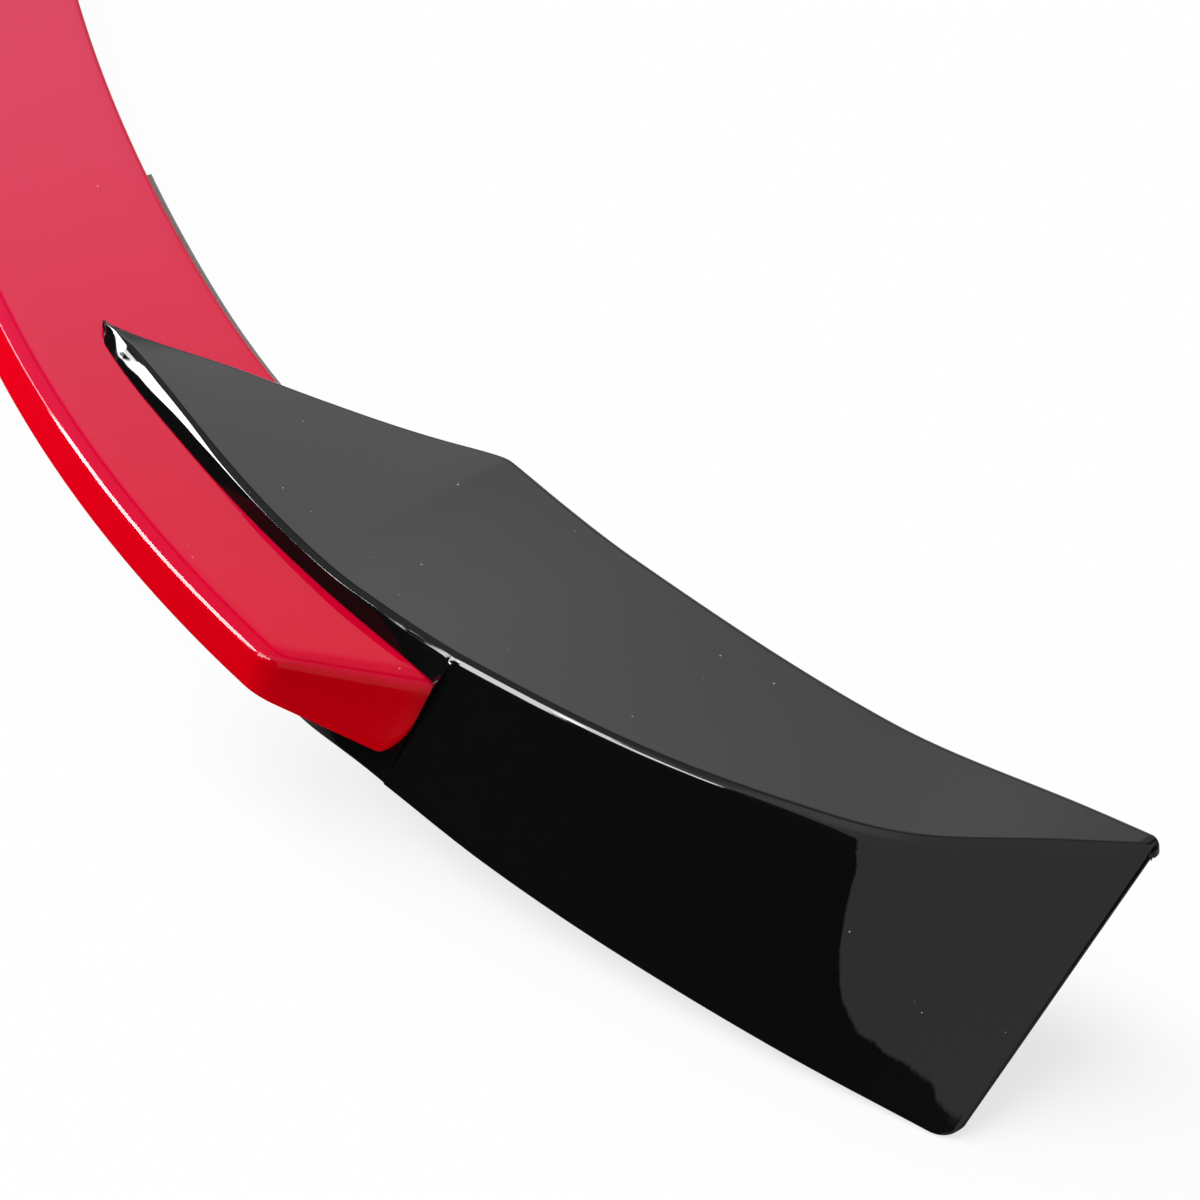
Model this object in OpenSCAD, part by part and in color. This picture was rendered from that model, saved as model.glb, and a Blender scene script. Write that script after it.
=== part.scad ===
// Boot-lid spoiler for a road car: a red blade on a full-width black base, with a gloss black
// winglet lapped over each end of the blade. It stands on the floor tipped back, as it does when
// it is laid down off the car.
//
// Every section is drawn in the plane square to the ridge, the blade's top rear edge. A place is
// given as [s, a, z]: s is the arc length along the ridge from the centre plane, a is the distance
// ahead of the ridge (towards the front of the car) and z is the height above the floor.

/* [Ridge in plan] */
// Arc length of the gently curved middle stretch, from the centre plane
mid_len = 250; // [230:5:270]
// Radius of the middle stretch
mid_radius = 1394; // [1300:10:1500]
// Arc length of the tighter outer stretch, up to the blade's rear corner
outer_len = 228; // [215:4:245]
// Radius of the outer stretch
outer_radius = 747; // [700:10:820]

/* [Blade] */
// Depth from the ridge to the leading edge, at the centre plane
blade_chord = 89; // [84:1:96]
// How much deeper the blade is at its rear corner than at the centre plane
chord_growth = 9; // [4:1:12]
// Height of the ridge above the floor
ridge_z = 58; // [56:1:62]
// Height of the leading edge above the floor
lead_z = 42; // [40:1:44]
// Depth of the lip turned down along the leading edge
lead_lip = 6; // [5.6:0.2:7]
// Height of the rear face at the centre plane
tail_h = 17; // [15:1:19]
// How far the rear face leans back below the ridge
tail_run = 8; // [6:0.5:10]
// Size of the rounding along the ridge
ridge_round = 8; // [5:0.5:9]
// Wall of the blade skin
blade_wall = 3; // [2.4:0.2:3.4]
// Length of the cut-off end, from the rear corner to the winglet
end_len = 43; // [38:1:48]
// Forward rake of the end's top edge, as a slope against the ridge
end_rake = 1.04; // [0.9:0.02:1.1]
// Forward rake of the end's bottom edge
end_toe = 0.6; // [0.5:0.02:0.7]
// Fall of the end's bottom edge towards the winglet
end_fall = 0.32; // [0.2:0.02:0.36]
// Size of the rounding in plan at the rear corner
corner_round = 7; // [4:0.5:9]

/* [Base] */
// Wall of the base panel
base_wall = 2.5; // [2:0.1:3]
// How far ahead of the ridge the plinth stands at the centre plane
plinth_set = 12; // [10:0.5:15]
// How far ahead of the ridge the plinth stands at the blade's rear corner
plinth_set_end = 9; // [8:0.5:11]
// Height of the plinth's bottom edge at the blade's rear corner
plinth_rise = 18.5; // [16:0.5:20]
// How far the flange under the rear face is set up from the face's bottom edge
flange_set = 1.2; // [0.8:0.1:2]

/* [Winglet] */
// Wall of the winglet skin
winglet_wall = 3; // [2.4:0.2:3.4]
// Wall of the winglet liner
liner_wall = 2; // [1.6:0.1:2.2]
// Reach of the winglet inboard of the blade's end
winglet_lap = 257; // [247:1:262]
// Reach of the winglet outboard of the blade's end
winglet_reach = 241; // [230:1:250]
// How far the winglet's front edge stands ahead of the blade's leading edge
winglet_overhang = 46; // [40:1:52]
// Height of the winglet's inboard edge above the blade's top
winglet_step = 7.5; // [6:0.5:9]
// Height of the winglet's top rear edge at the blade's end
crest_z = 62.5; // [60:0.5:65]
// Height of the winglet's outer tip
outer_tip_z = 64; // [62:0.5:66]
// Height of the winglet's front corner
front_corner_z = 49; // [47:0.5:51]
// Depth of the lip turned down along the winglet's front edge
winglet_lip = 5.6; // [5.4:0.2:7]
// Height of the winglet's bottom rear edge at the blade's end
skirt_z = 17.6; // [16:0.2:19]
// Height of the winglet's lowest corner above the floor
heel_z = 0; // [0:0.1:1]
// Size of the rounding along the winglet's crest
crest_round = 7; // [4:0.5:9]
// How far the outer end leans outward at its foot
end_lean = 11; // [6:1:14]

// Size of the rounding at the winglet's outer front corner
tip_round = 6; // [3:0.5:8]
// Size of the rounding at the winglet's outer rear corner
heel_round = 8; // [4:0.5:10]

/* [Fixings] */
// Distance of each inner mounting point from the centre plane
inner_mount_x = 175; // [150:5:195]
// Distance of each outer mounting point from the centre plane
outer_mount_x = 390; // [370:5:400]
// Distance of the mounting points ahead of the ridge
mount_set = 52; // [48:1:56]
// Diameter of a mounting block
block_d = 24; // [20:1:28]
// Outer diameter of a threaded insert
insert_d = 9; // [8:0.2:10]
// Length of a threaded insert
insert_l = 12; // [10:0.5:14]
// Core diameter of the insert's M6 thread
thread_d = 5; // [4.6:0.1:5.4]
// Thickness of a mounting gasket
gasket_t = 2; // [1.5:0.1:3]
// Diameter of the hole in a mounting gasket
gasket_hole_d = 13; // [11:0.5:15]
// Shank diameter of a winglet screw
screw_d = 4; // [3.5:0.1:4.5]
// Head diameter of a winglet screw
screw_head_d = 8; // [7:0.2:9]
// Diameter of a locating pin
pin_d = 5; // [4:0.2:6]
// Width of the bonding tape
tape_w = 9; // [7:0.5:11]
// Thickness of the bonding tape
tape_t = 1.1; // [0.8:0.1:1.4]
// How far the outer leading tapes show ahead of the blade
tape_show = 3.2; // [2:0.2:4]
// Width of the stiffening channel
channel_w = 14; // [12:1:17]
// Wall of the stiffening channel
channel_wall = 1.5; // [1:0.1:2]

/* [Fits] */
// Gap between bonded shells
bond_gap = 0.3; // [0.2:0.05:0.4]
// Gap between the winglet and the blade that it laps
seat_gap = 0.3; // [0.2:0.05:0.4]
// Radial clearance of a fixing in its hole
hole_clearance = 0.1; // [0.05:0.05:0.2]

/* [Hidden] */

round_fn = 48;
deg = 180 / PI;
ridge_len = mid_len + outer_len;
blade_end = ridge_len + end_len;
tip_s = blade_end - winglet_lap;
outer_s = blade_end + winglet_reach;
corner_share = 0.677;
corner_at = tip_s + corner_share * winglet_lap;

// ---- Plan: the ridge, and the frame that runs along it ----

function heading(s) = deg * (s <= mid_len ? s / mid_radius
    : mid_len / mid_radius + (min(s, ridge_len) - mid_len) / outer_radius);

function ridge_xy(s) = let (h = heading(s), h_mid = heading(mid_len))
    s <= mid_len ? mid_radius * [sin(h), 1 - cos(h)]
    : s <= ridge_len ? ridge_xy(mid_len) + outer_radius * [sin(h) - sin(h_mid), cos(h_mid) - cos(h)]
    : ridge_xy(ridge_len) + (s - ridge_len) * [cos(h), sin(h)];

function plan_xy(s, a) = ridge_xy(s) + a * [-sin(heading(s)), cos(heading(s))];

// The origin lies halfway between the rear face and the winglets' foremost corners
front_y = plan_xy(outer_s, front_a(outer_s)).y;
ridge_y = -(front_y - tail_run) / 2;

function place(s, a, z) = let (p = plan_xy(abs(s), a)) [sign(s) * p.x, p.y + ridge_y, z];

// ---- Small helpers ----

function lerp(p, q, t) = p + (q - p) * t;
function clamp01(t) = max(0, min(1, t));
function ease(t) = let (u = clamp01(t)) u * u * (3 - 2 * u);
function unit(v) = v / norm(v);

// 0 before a corner and x after it, with a parabola of half-width w between
function bend(x, w) = x <= -w ? 0 : x >= w ? x : pow(x + w, 2) / (4 * w);

// Smooth curve through keys [s, value], with the tangents of the neighbouring keys
function key_slope(keys, i) = let (j = max(i - 1, 0), k = min(i + 1, len(keys) - 1))
    (keys[k][1] - keys[j][1]) / (keys[k][0] - keys[j][0]);
function key_at(keys, s, i = 0) =
    i < len(keys) - 2 && s > keys[i + 1][0] ? key_at(keys, s, i + 1)
    : let (w = keys[i + 1][0] - keys[i][0], t = clamp01((s - keys[i][0]) / w), u = 1 - t)
        keys[i][1] * u * u * (1 + 2 * t) + keys[i + 1][1] * t * t * (1 + 2 * u)
        + w * t * u * (key_slope(keys, i) * u - key_slope(keys, i + 1) * t);

// Points that round off corner p between its neighbours, starting d away from it on each side
function rounded(before, p, after, d, steps) =
    let (b = p + d * unit(before - p), c = p + d * unit(after - p))
    [for (i = [0:steps]) let (t = i / steps, u = 1 - t) u * u * b + 2 * t * u * p + t * t * c];

// Stations from mark to mark, with counts[i] even steps in stretch i
function stations_along(marks, counts) = concat(
    [for (i = [0:len(counts) - 1]) for (j = [0:counts[i] - 1])
        lerp(marks[i], marks[i + 1], j / counts[i])],
    [marks[len(counts)]]
);

// A closed solid through loops of points, all of the same count
module loft(loops) {
    rings = len(loops);
    size = len(loops[0]);
    points = [for (loop = loops) for (p = loop) p];
    sides = [for (i = [0:rings - 2]) for (j = [0:size - 1])
        let (k = (j + 1) % size, low = i * size, high = low + size)
        each [[low + j, high + j, high + k], [low + j, high + k, low + k]]];
    first = [for (j = [0:size - 1]) j];
    last = [for (j = [size - 1:-1:0]) (rings - 1) * size + j];
    polyhedron(points = points, faces = concat([first], sides, [last]), convexity = 8);
}

// Lofts the sections that a list of stations gives; each section is a loop of [a, z]
module loft_sections(stations, sections) {
    loft([for (i = [0:len(stations) - 1]) [for (q = sections[i]) place(stations[i], q[0], q[1])]]);
}

// ---- Blade ----

function lead_a(s) = blade_chord + chord_growth * pow(s / ridge_len, 2);
function top_z(s, a) = lerp(ridge_z, lead_z, min(1, a / lead_a(s)));
function rim_a(s) = end_rake * bend(s - ridge_len, corner_round);
function tail_a(s) = -tail_run + end_toe * bend(s - ridge_len, corner_round);
function tail_z(s) = ridge_z - tail_h - end_fall * bend(s - ridge_len, corner_round);

// The end's outline rounds off over its last stretch, where it meets the winglet
end_round = 7;
function end_share(s) = let (u = clamp01((s - blade_end + end_round) / end_round))
    0.75 * (1 - sqrt(1 - u * u));
function blade_rim(s) = [rim_a(s), top_z(s, rim_a(s))];
function blade_tail(s) = lerp([tail_a(s), tail_z(s)], blade_rim(s), end_share(s));
function blade_lead(s) = [lead_a(s), lead_z];

// Thin-walled section: front lip, top, rounded crest, rear face, and back along the inside.
// front, crest and foot are [a, z]; the walls are measured square to the top and to the rear face.
function skin_section(front, crest, foot, lip, wall, round_size) =
    let (
        along = unit(front - crest),
        down = unit(foot - crest),
        top_len = norm(front - crest),
        face_len = norm(foot - crest),
        top_wall = min(wall, 0.4 * top_len),
        rear_wall = min(wall, 0.5 * top_len, 0.3 * face_len),
        lip_wall = min(wall, 0.3 * top_len),
        top_in = [along[1], -along[0]],
        rear_in = [-down[1], down[0]],
        share = top_in * rear_in,
        inner_crest = crest + ((top_wall - share * rear_wall) * top_in
            + (rear_wall - share * top_wall) * rear_in) / (1 - share * share),
        inner_foot = inner_crest + down * (foot[1] - inner_crest[1]) / down[1],
        inner_front = inner_crest + along * (front[0] - lip_wall - inner_crest[0]) / along[0],
        d = min(round_size, 0.42 * top_len, 0.42 * face_len),
        inner_d = max(0.3 * d, d - wall),
        lip_foot = [front[0], front[1] - lip],
        lip_round = min(1.8, 0.4 * lip, 0.3 * top_len),
        crest_arc = rounded(front, crest, foot, d, 5),
        lip_arc = rounded(lip_foot, front, crest, lip_round, 2)
    )
    concat(
        [lip_foot],
        lip_arc,
        [for (t = [0.25, 0.5, 0.75]) lerp(lip_arc[2], crest_arc[0], t)],
        crest_arc,
        [lerp(crest_arc[5], foot, 0.5), foot, inner_foot],
        rounded(inner_foot, inner_crest, inner_front, min(inner_d, 0.4 * norm(inner_front - inner_crest)), 3),
        [inner_front, [inner_front[0], front[1] - lip]]
    );

blade_tip = blade_end - 0.4;
half_stations = stations_along(
    [0, ridge_len - corner_round, ridge_len + corner_round, blade_end - end_round, blade_tip],
    [15, 4, 3, 5]
);
blade_stations = concat([for (i = [len(half_stations) - 1:-1:1]) -half_stations[i]], half_stations);

function blade_section(s) = skin_section(blade_lead(s), blade_rim(s), blade_tail(s),
    lead_lip, blade_wall, ridge_round);

module blade_shell() {
    loft_sections(blade_stations, [for (s = blade_stations) blade_section(abs(s))]);
}

// ---- Base: plinth, flange under the rear face, and the floor that follows the boot lid ----

function plinth_a(s) = lerp(lerp(plinth_set, plinth_set_end, ease(s / ridge_len)),
    skirt_a(blade_end), ease((s - ridge_len) / end_len));
function plinth_z(s) = lerp(plinth_rise * pow(sin(90 * min(1, s / ridge_len)), 2),
    skirt_z, ease((s - ridge_len) / end_len));
function floor_front_a(s) = lead_a(s) - blade_wall - bond_gap;
function floor_front_z(s) = lead_z - lead_lip;
function floor_z(s, a) = lerp(plinth_z(s), floor_front_z(s),
    (a - plinth_a(s)) / (floor_front_a(s) - plinth_a(s)));
// The plinth leans forward under the cut-off end, into the plane of the winglet's rear face
function skirt_face_a(z) = lerp(skirt_a(blade_end), crest_a(blade_end),
    (z - skirt_z) / (crest_z - skirt_z));
function plinth_top_a(s) = lerp(plinth_a(s) - 1, skirt_face_a(plinth_top_z(s)),
    ease((s - ridge_len) / end_len));

// The flange fades out where the blade's end rounds off, and the plinth ends below the blade there
flange_fade = 6;
function flange_share(s) = clamp01((blade_end - end_round - s) / flange_fade);
function plinth_top_z(s) = blade_tail(s)[1] + lerp(-2 * bond_gap, flange_set, flange_share(s));

// Where the inside of the blade's rear wall stands at height z
function tail_lean(s) = (rim_a(s) - tail_a(s)) / (top_z(s, rim_a(s)) - tail_z(s));
function wall_inside_a(s, z) = tail_a(s) + tail_lean(s) * (z - tail_z(s))
    + blade_wall * sqrt(1 + pow(tail_lean(s), 2));
function flange_back_a(s, z) = let (most = plinth_top_a(s) - bond_gap)
    lerp(most, min(wall_inside_a(s, z) + 2 * bond_gap, most), flange_share(s));

function base_section(s) = let (
        w = base_wall,
        flange_w = lerp(bond_gap, w, flange_share(s)),
        pa = plinth_a(s), pz = plinth_z(s),
        ta = plinth_top_a(s), tz = plinth_top_z(s), flange_top = tz + flange_w,
        fa = floor_front_a(s), fz = floor_front_z(s),
        slope = (fz - pz) / (fa - pa)
    )
    [
        [fa, fz + w], [lerp(pa, fa, 0.5), lerp(pz, fz, 0.5) + w + 0.4],
        [pa + w + 1, pz + w + 1 + w * slope], [ta + 1.3 * w, flange_top],
        [flange_back_a(s, flange_top), flange_top], [flange_back_a(s, tz), tz], [ta, tz],
        [pa - 0.4, pz + 1.4], [pa + 0.2, pz], [pa + 1.4, pz + 1.4 * slope],
        [lerp(pa, fa, 0.5), lerp(pz, fz, 0.5)], [fa, fz]
    ];

module base_shell() {
    loft_sections(blade_stations, [for (s = blade_stations) base_section(abs(s))]);
}

// ---- Winglet: front edge, crest and foot along the ridge frame ----

function front_keys() = let (lap_a = lead_a(corner_at) + winglet_overhang, e = outer_s - blade_end) [
    [tip_s, 41], [tip_s + 10, 48], [tip_s + 56, 81], [corner_at - 26, lap_a - 12.3],
    [corner_at - 6, lap_a - 2.1], [corner_at + 4, lap_a + 0.9], [blade_end, lap_a + 1.5],
    [blade_end + 0.54 * e, lap_a + 12], [blade_end + 0.87 * e, lap_a + 31], [outer_s, lap_a + 38]
];
// How far an outline rounded off with radius r falls back at arc length s near the outer end
function corner_cut(s, r) = let (u = clamp01((s - outer_s + r) / r)) r * (1 - sqrt(1 - u * u));
function front_a(s) = key_at(front_keys(), s) - corner_cut(s, tip_round);

function crest_keys() = let (e = outer_s - blade_end) [
    [tip_s, 39.8], [tip_s + 10, 42.2], [tip_s + 60, 44.2], [lerp(tip_s, blade_end, 0.64), 43.2],
    [blade_end - 50, 45], [blade_end, 54], [blade_end + 0.34 * e, 76.5],
    [blade_end + 0.58 * e, 98.5], [blade_end + 0.74 * e, 118], [blade_end + 0.89 * e, 152],
    [outer_s, key_at(front_keys(), outer_s) - 4]
];
function crest_a(s) = key_at(crest_keys(), s) - corner_cut(s, tip_round);

function lap_foot_a(s) = key_at([[tip_s, 38.6], [tip_s + 10, 35.8], [tip_s + 84, 39.3],
    [blade_end - end_len, 41.6], [blade_end, skirt_face_a(top_z(blade_end, crest_a(blade_end)))]], s);
function skirt_a(s) = let (e = outer_s - blade_end)
    key_at([[blade_end, 11.4], [blade_end + 0.22 * e, 16.3], [blade_end + 0.46 * e, 26.2],
        [blade_end + 0.74 * e, 42.5], [outer_s, 62]], s);

function front_z(s) = key_at([
    [tip_s, top_z(tip_s, 40) + 3.6], [corner_at, front_corner_z], [blade_end + 20, front_corner_z + 0.5],
    [lerp(blade_end, outer_s, 0.54), front_corner_z + 5.3], [outer_s, outer_tip_z]], s);
function crest_height(s) = key_at([
    [tip_s, top_z(tip_s, 40) + 3.8], [tip_s + 10, top_z(tip_s, 42) + 4.8],
    [tip_s + 90, top_z(tip_s, 44) + winglet_step], [blade_end, crest_z],
    [lerp(blade_end, outer_s, 0.7), outer_tip_z + 1], [outer_s, outer_tip_z + 0.5]], s);
function lap_foot(s) = let (a = lap_foot_a(s)) [a, top_z(s, a) + seat_gap];
function skirt_foot(s) = [skirt_a(s), lerp(skirt_z, heel_z, (s - blade_end) / (outer_s - blade_end))];

// The front lip stands on the blade's top, then steps down ahead of the blade
function lip_foot_z(s) = lerp(top_z(s, front_a(s) - winglet_wall) + seat_gap, front_z(s) - winglet_lip,
    ease((front_a(s) - lead_a(s) - 1) / 8));

function winglet_front(s) = [front_a(s), front_z(s)];
function winglet_crest(s) = [crest_a(s), crest_height(s)];
function winglet_foot(s) = s < blade_end ? lap_foot(s)
    : let (p = skirt_foot(s)) p + corner_cut(s, heel_round) * unit(winglet_crest(s) - p);
function winglet_section(s) = skin_section(winglet_front(s), winglet_crest(s), winglet_foot(s),
    front_z(s) - lip_foot_z(s), winglet_wall, crest_round);

// The outer end leans: its foot lies further out than its top
function lean(s, z) = end_lean * pow(clamp01((s - blade_end) / (outer_s - blade_end)), 2)
    * clamp01((outer_tip_z - z) / outer_tip_z);

lap_stations = stations_along([tip_s, tip_s + 10, corner_at - 9, corner_at + 7, blade_end - 0.2],
    [3, 8, 4, 4]);
free_stations = stations_along(
    [blade_end + 0.1, lerp(blade_end, outer_s, 0.88), outer_s - heel_round, outer_s],
    [11, 3, 5]
);
winglet_stations = concat(lap_stations, free_stations);

module winglet_shell() {
    loft([for (s = winglet_stations) [for (q = winglet_section(s)) place(s + lean(s, q[1]), q[0], q[1])]]);
}

// ---- Winglet liner: closes the underside ahead of the blade and behind the free part ----

liner_start = lerp(tip_s, blade_end, 0.36);
liner_end = lerp(blade_end, outer_s, 0.86);
liner_stations = [for (s = winglet_stations) if (s > liner_start && s < liner_end) s];

// Slope of the winglet's rear face, as run over drop
function face_lean(s) = let (v = winglet_crest(s) - winglet_foot(s)) v[0] / v[1];

liner_lift = 0.4;
function liner_rear(s) = s < blade_end ? [lead_a(s) + 2, lip_foot_z(s) + seat_gap]
    : skirt_foot(s) + [
        winglet_wall * sqrt(1 + pow(face_lean(s), 2)) + face_lean(s) * liner_lift + bond_gap, liner_lift];
function liner_front(s) = [front_a(s) - winglet_wall - 2 * bond_gap, lip_foot_z(s) + liner_lift];

function slab_section(rear, front, wall, rear_lean) = [
    front, front + [0, wall], rear + [wall * rear_lean, wall], rear
];

module winglet_liner() {
    loft([for (s = liner_stations) let (back = s < blade_end ? 0 : face_lean(s) + 0.1)
        [for (q = slab_section(liner_rear(s), liner_front(s), liner_wall, back))
            place(s + lean(s, q[1]), q[0], q[1])]]);
}

// ---- Bonding tape: a flat strip a set width wide, under a wall ----

module tape(stations, rear_points, front_points) {
    loft([for (i = [0:len(stations) - 1]) let (s = stations[i], r = rear_points[i], f = front_points[i])
        [for (q = [f, r, r - [0, tape_t], f - [0, tape_t]]) place(s, q[0], q[1])]]);
}

// The leading tape is laid in three strips: the centre one, and one towards each end
tape_split = 151;
lead_tape_gap = 4;

module lead_tape(stations, show) {
    tape(stations,
        [for (s = stations) let (a = lead_a(abs(s)) + show - tape_w)
            [a, min(lead_z - lead_lip, floor_z(abs(s), a)) - bond_gap]],
        [for (s = stations) [lead_a(abs(s)) + show, lead_z - lead_lip - bond_gap]]);
}

// How far the other tapes stand in from the edge beside them
plinth_tape_inset = 7;
front_tape_inset = 3;
rear_tape_inset = 4;

function under_floor(s, a) = [a, floor_z(s, a) - bond_gap];

module plinth_tape() {
    stations = [for (s = blade_stations) if (abs(s) < ridge_len) s];
    rear = [for (s = stations) plinth_a(abs(s)) + plinth_tape_inset];
    tape(stations,
        [for (i = [0:len(stations) - 1]) under_floor(abs(stations[i]), rear[i])],
        [for (i = [0:len(stations) - 1]) under_floor(abs(stations[i]), rear[i] + tape_w)]);
}

function under_liner(s, a) = let (r = liner_rear(s), f = liner_front(s))
    [a, lerp(r[1], f[1], (a - r[0]) / (f[0] - r[0])) - bond_gap];

module winglet_front_tape() {
    stations = [for (s = liner_stations) if (front_a(s) - lead_a(s) > 3 * tape_w) s];
    front = [for (s = stations) liner_front(s)[0] - front_tape_inset];
    tape(stations,
        [for (i = [0:len(stations) - 1]) under_liner(stations[i], front[i] - tape_w)],
        [for (i = [0:len(stations) - 1]) under_liner(stations[i], front[i])]);
}

module winglet_rear_tape() {
    stations = [for (s = liner_stations) if (s > blade_end) s];
    rear = [for (s = stations) liner_rear(s)[0] + rear_tape_inset];
    tape(stations,
        [for (i = [0:len(stations) - 1]) under_liner(stations[i], rear[i])],
        [for (i = [0:len(stations) - 1]) under_liner(stations[i], rear[i] + tape_w)]);
}

// ---- Mounting points ----

// Arc length at which a line a set distance ahead of the ridge crosses a plane of constant x
function station_of(x, a, low = 0, high = ridge_len, turns = 24) = let (mid = (low + high) / 2)
    turns == 0 ? mid
    : plan_xy(mid, a).x < x ? station_of(x, a, mid, high, turns - 1)
    : station_of(x, a, low, mid, turns - 1);

inner_s = station_of(inner_mount_x, mount_set);
outer_mount_s = station_of(outer_mount_x, mount_set);
block_r = block_d / 2;

// How far a block's foot stands proud of the floor, and how far a bore is cut past its piece
block_proud = 0.5;
cut_over = 1;

function floor_slope(s) = (floor_front_z(s) - plinth_z(s)) / (floor_front_a(s) - plinth_a(s));
function pad_z(s) = floor_z(s, mount_set) - (block_r + 1) * floor_slope(s) - block_proud;
function block_top_z(s) = top_z(s, mount_set + block_r) - blade_wall - 2 * bond_gap;

module at_mount(side, x, s) {
    translate([side * x, place(s, mount_set, 0).y, pad_z(s)]) children();
}

// A cylinder that cuts right through a piece of height h
module bore(d, h) {
    translate([0, 0, -cut_over]) cylinder(d = d, h = h + 2 * cut_over, $fn = round_fn);
}

module mount_block(side, x, s) {
    at_mount(side, x, s) difference() {
        cylinder(d = block_d, h = block_top_z(s) - pad_z(s), $fn = round_fn);
        bore(insert_d + 2 * hole_clearance, insert_l);
    }
}

module threaded_insert(side, x, s) {
    at_mount(side, x, s) difference() {
        cylinder(d = insert_d, h = insert_l, $fn = round_fn);
        bore(thread_d, insert_l);
    }
}

module mount_gasket(side, x, s) {
    at_mount(side, x, s) translate([0, 0, -gasket_t]) difference() {
        cylinder(d = block_d, h = gasket_t, $fn = round_fn);
        bore(gasket_hole_d, gasket_t);
    }
}

module block_hole(side, x, s) {
    at_mount(side, x, s) bore(block_d + 2 * bond_gap, block_d);
}

// ---- Stiffening channel between the floor and the blade's top ----

channel_set = 22;
channel_foot = 1;
channel_past_block = 9;
channel_steps = 14;
channel_end = outer_mount_s + block_r + channel_past_block;

function channel_section(s) = let (
        a0 = channel_set, a1 = channel_set + channel_w, w = channel_wall,
        low0 = floor_z(s, a0) + base_wall + channel_foot + 2 * bond_gap,
        low1 = floor_z(s, a1) + base_wall + channel_foot + 2 * bond_gap,
        high0 = top_z(s, a0) - blade_wall - 2 * bond_gap,
        high1 = top_z(s, a1) - blade_wall - 2 * bond_gap
    )
    [
        [a1, high1], [a0, high0], [a0, low0], [a0 + w, low0],
        [a0 + w, high0 - w], [a1 - w, high1 - w], [a1 - w, low1], [a1, low1]
    ];

module channel_shell() {
    stations = [for (i = [-channel_steps:channel_steps]) channel_end * i / channel_steps];
    loft_sections(stations, [for (s = stations) channel_section(abs(s))]);
}

// ---- Screws and pins that hold each winglet to the blade ----

// A place under the lapped part, as shares of the lap and of the blade's depth
function lap_place(along, ahead) = [lerp(tip_s, blade_end, along), ahead * blade_chord];
screw_places = [lap_place(0.43, 0.74), lap_place(0.66, 0.79), lap_place(0.875, 0.83)];
pin_places = [lap_place(0.31, 0.65), lap_place(0.94, 0.67)];
boss_wall = 2.5;
boss_lift = 1.2;
boss_root = 0.3;
end_play = 0.8;
screw_head_t = 2.4;
pin_head_t = 1.5;
pin_head_d = pin_d + 2;

function winglet_top_z(s, a) = lerp(crest_height(s), front_z(s),
    (a - crest_a(s)) / (front_a(s) - crest_a(s)));
function boss_low(p) = top_z(p[0], p[1]) + boss_lift;
function boss_high(p) = winglet_top_z(p[0], p[1]) - (1 - boss_root) * winglet_wall;
function fixing_top(p) = boss_high(p) - end_play;
function top_fall(s) = (ridge_z - lead_z) / lead_a(s);
function head_seat(p, head_d) = top_z(p[0], p[1] + head_d / 2)
    - blade_wall * sqrt(1 + pow(top_fall(p[0]), 2)) - seat_gap;

module at_place(p, z) {
    spot = place(p[0], p[1], z);
    translate(spot) children();
}

module boss(p) {
    boss_d = screw_d + 2 * (hole_clearance + boss_wall);
    at_place(p, boss_low(p)) cylinder(d = boss_d, h = boss_high(p) - boss_low(p), $fn = round_fn);
}

module boss_bore(p, d) {
    depth = fixing_top(p) + seat_gap - boss_low(p);
    at_place(p, boss_low(p) - cut_over)
        cylinder(d = d + 2 * hole_clearance, h = depth + cut_over, $fn = round_fn);
}

module blade_hole(p, d) {
    at_place(p, top_z(p[0], p[1]) - 2 * blade_wall) bore(d + 2 * hole_clearance, 3 * blade_wall);
}

// A headed fixing from under the blade's top up into the winglet's boss
module headed_fixing(p, d, head_d, head_t) {
    seat = head_seat(p, head_d);
    at_place(p, seat - head_t) cylinder(d = head_d, h = head_t, $fn = round_fn);
    at_place(p, seat - head_t) cylinder(d = d, h = fixing_top(p) - seat + head_t, $fn = round_fn);
}

module blade_holes() {
    for (p = screw_places) blade_hole(p, screw_d);
    for (p = pin_places) blade_hole(p, pin_d);
}

module winglet() {
    difference() {
        union() {
            winglet_shell();
            for (p = concat(screw_places, pin_places)) boss(p);
        }
        for (p = screw_places) boss_bore(p, screw_d);
        for (p = pin_places) boss_bore(p, pin_d);
    }
}

module winglet_screws() {
    for (p = screw_places) headed_fixing(p, screw_d, screw_head_d, screw_head_t);
}

module locating_pins() {
    for (p = pin_places) headed_fixing(p, pin_d, pin_head_d, pin_head_t);
}

// ---- Pieces ----

RED = [0.82, 0.03, 0.08];
GLOSS_BLACK = [0.05, 0.05, 0.055];
MATT_BLACK = [0.14, 0.14, 0.145];
ALUMINIUM = [0.72, 0.73, 0.74];
BRASS = [0.78, 0.62, 0.32];
STEEL = [0.55, 0.56, 0.58];
FOAM = [0.22, 0.22, 0.22];
TAPE = [0.45, 0.46, 0.47];

module blade_skin() {
    color(RED) difference() {
        blade_shell();
        blade_holes();
        mirror([1, 0, 0]) blade_holes();
    }
}

module base_panel() {
    color(GLOSS_BLACK) difference() {
        base_shell();
        for (side = [-1, 1]) {
            block_hole(side, inner_mount_x, inner_s);
            block_hole(side, outer_mount_x, outer_mount_s);
        }
    }
}

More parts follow.
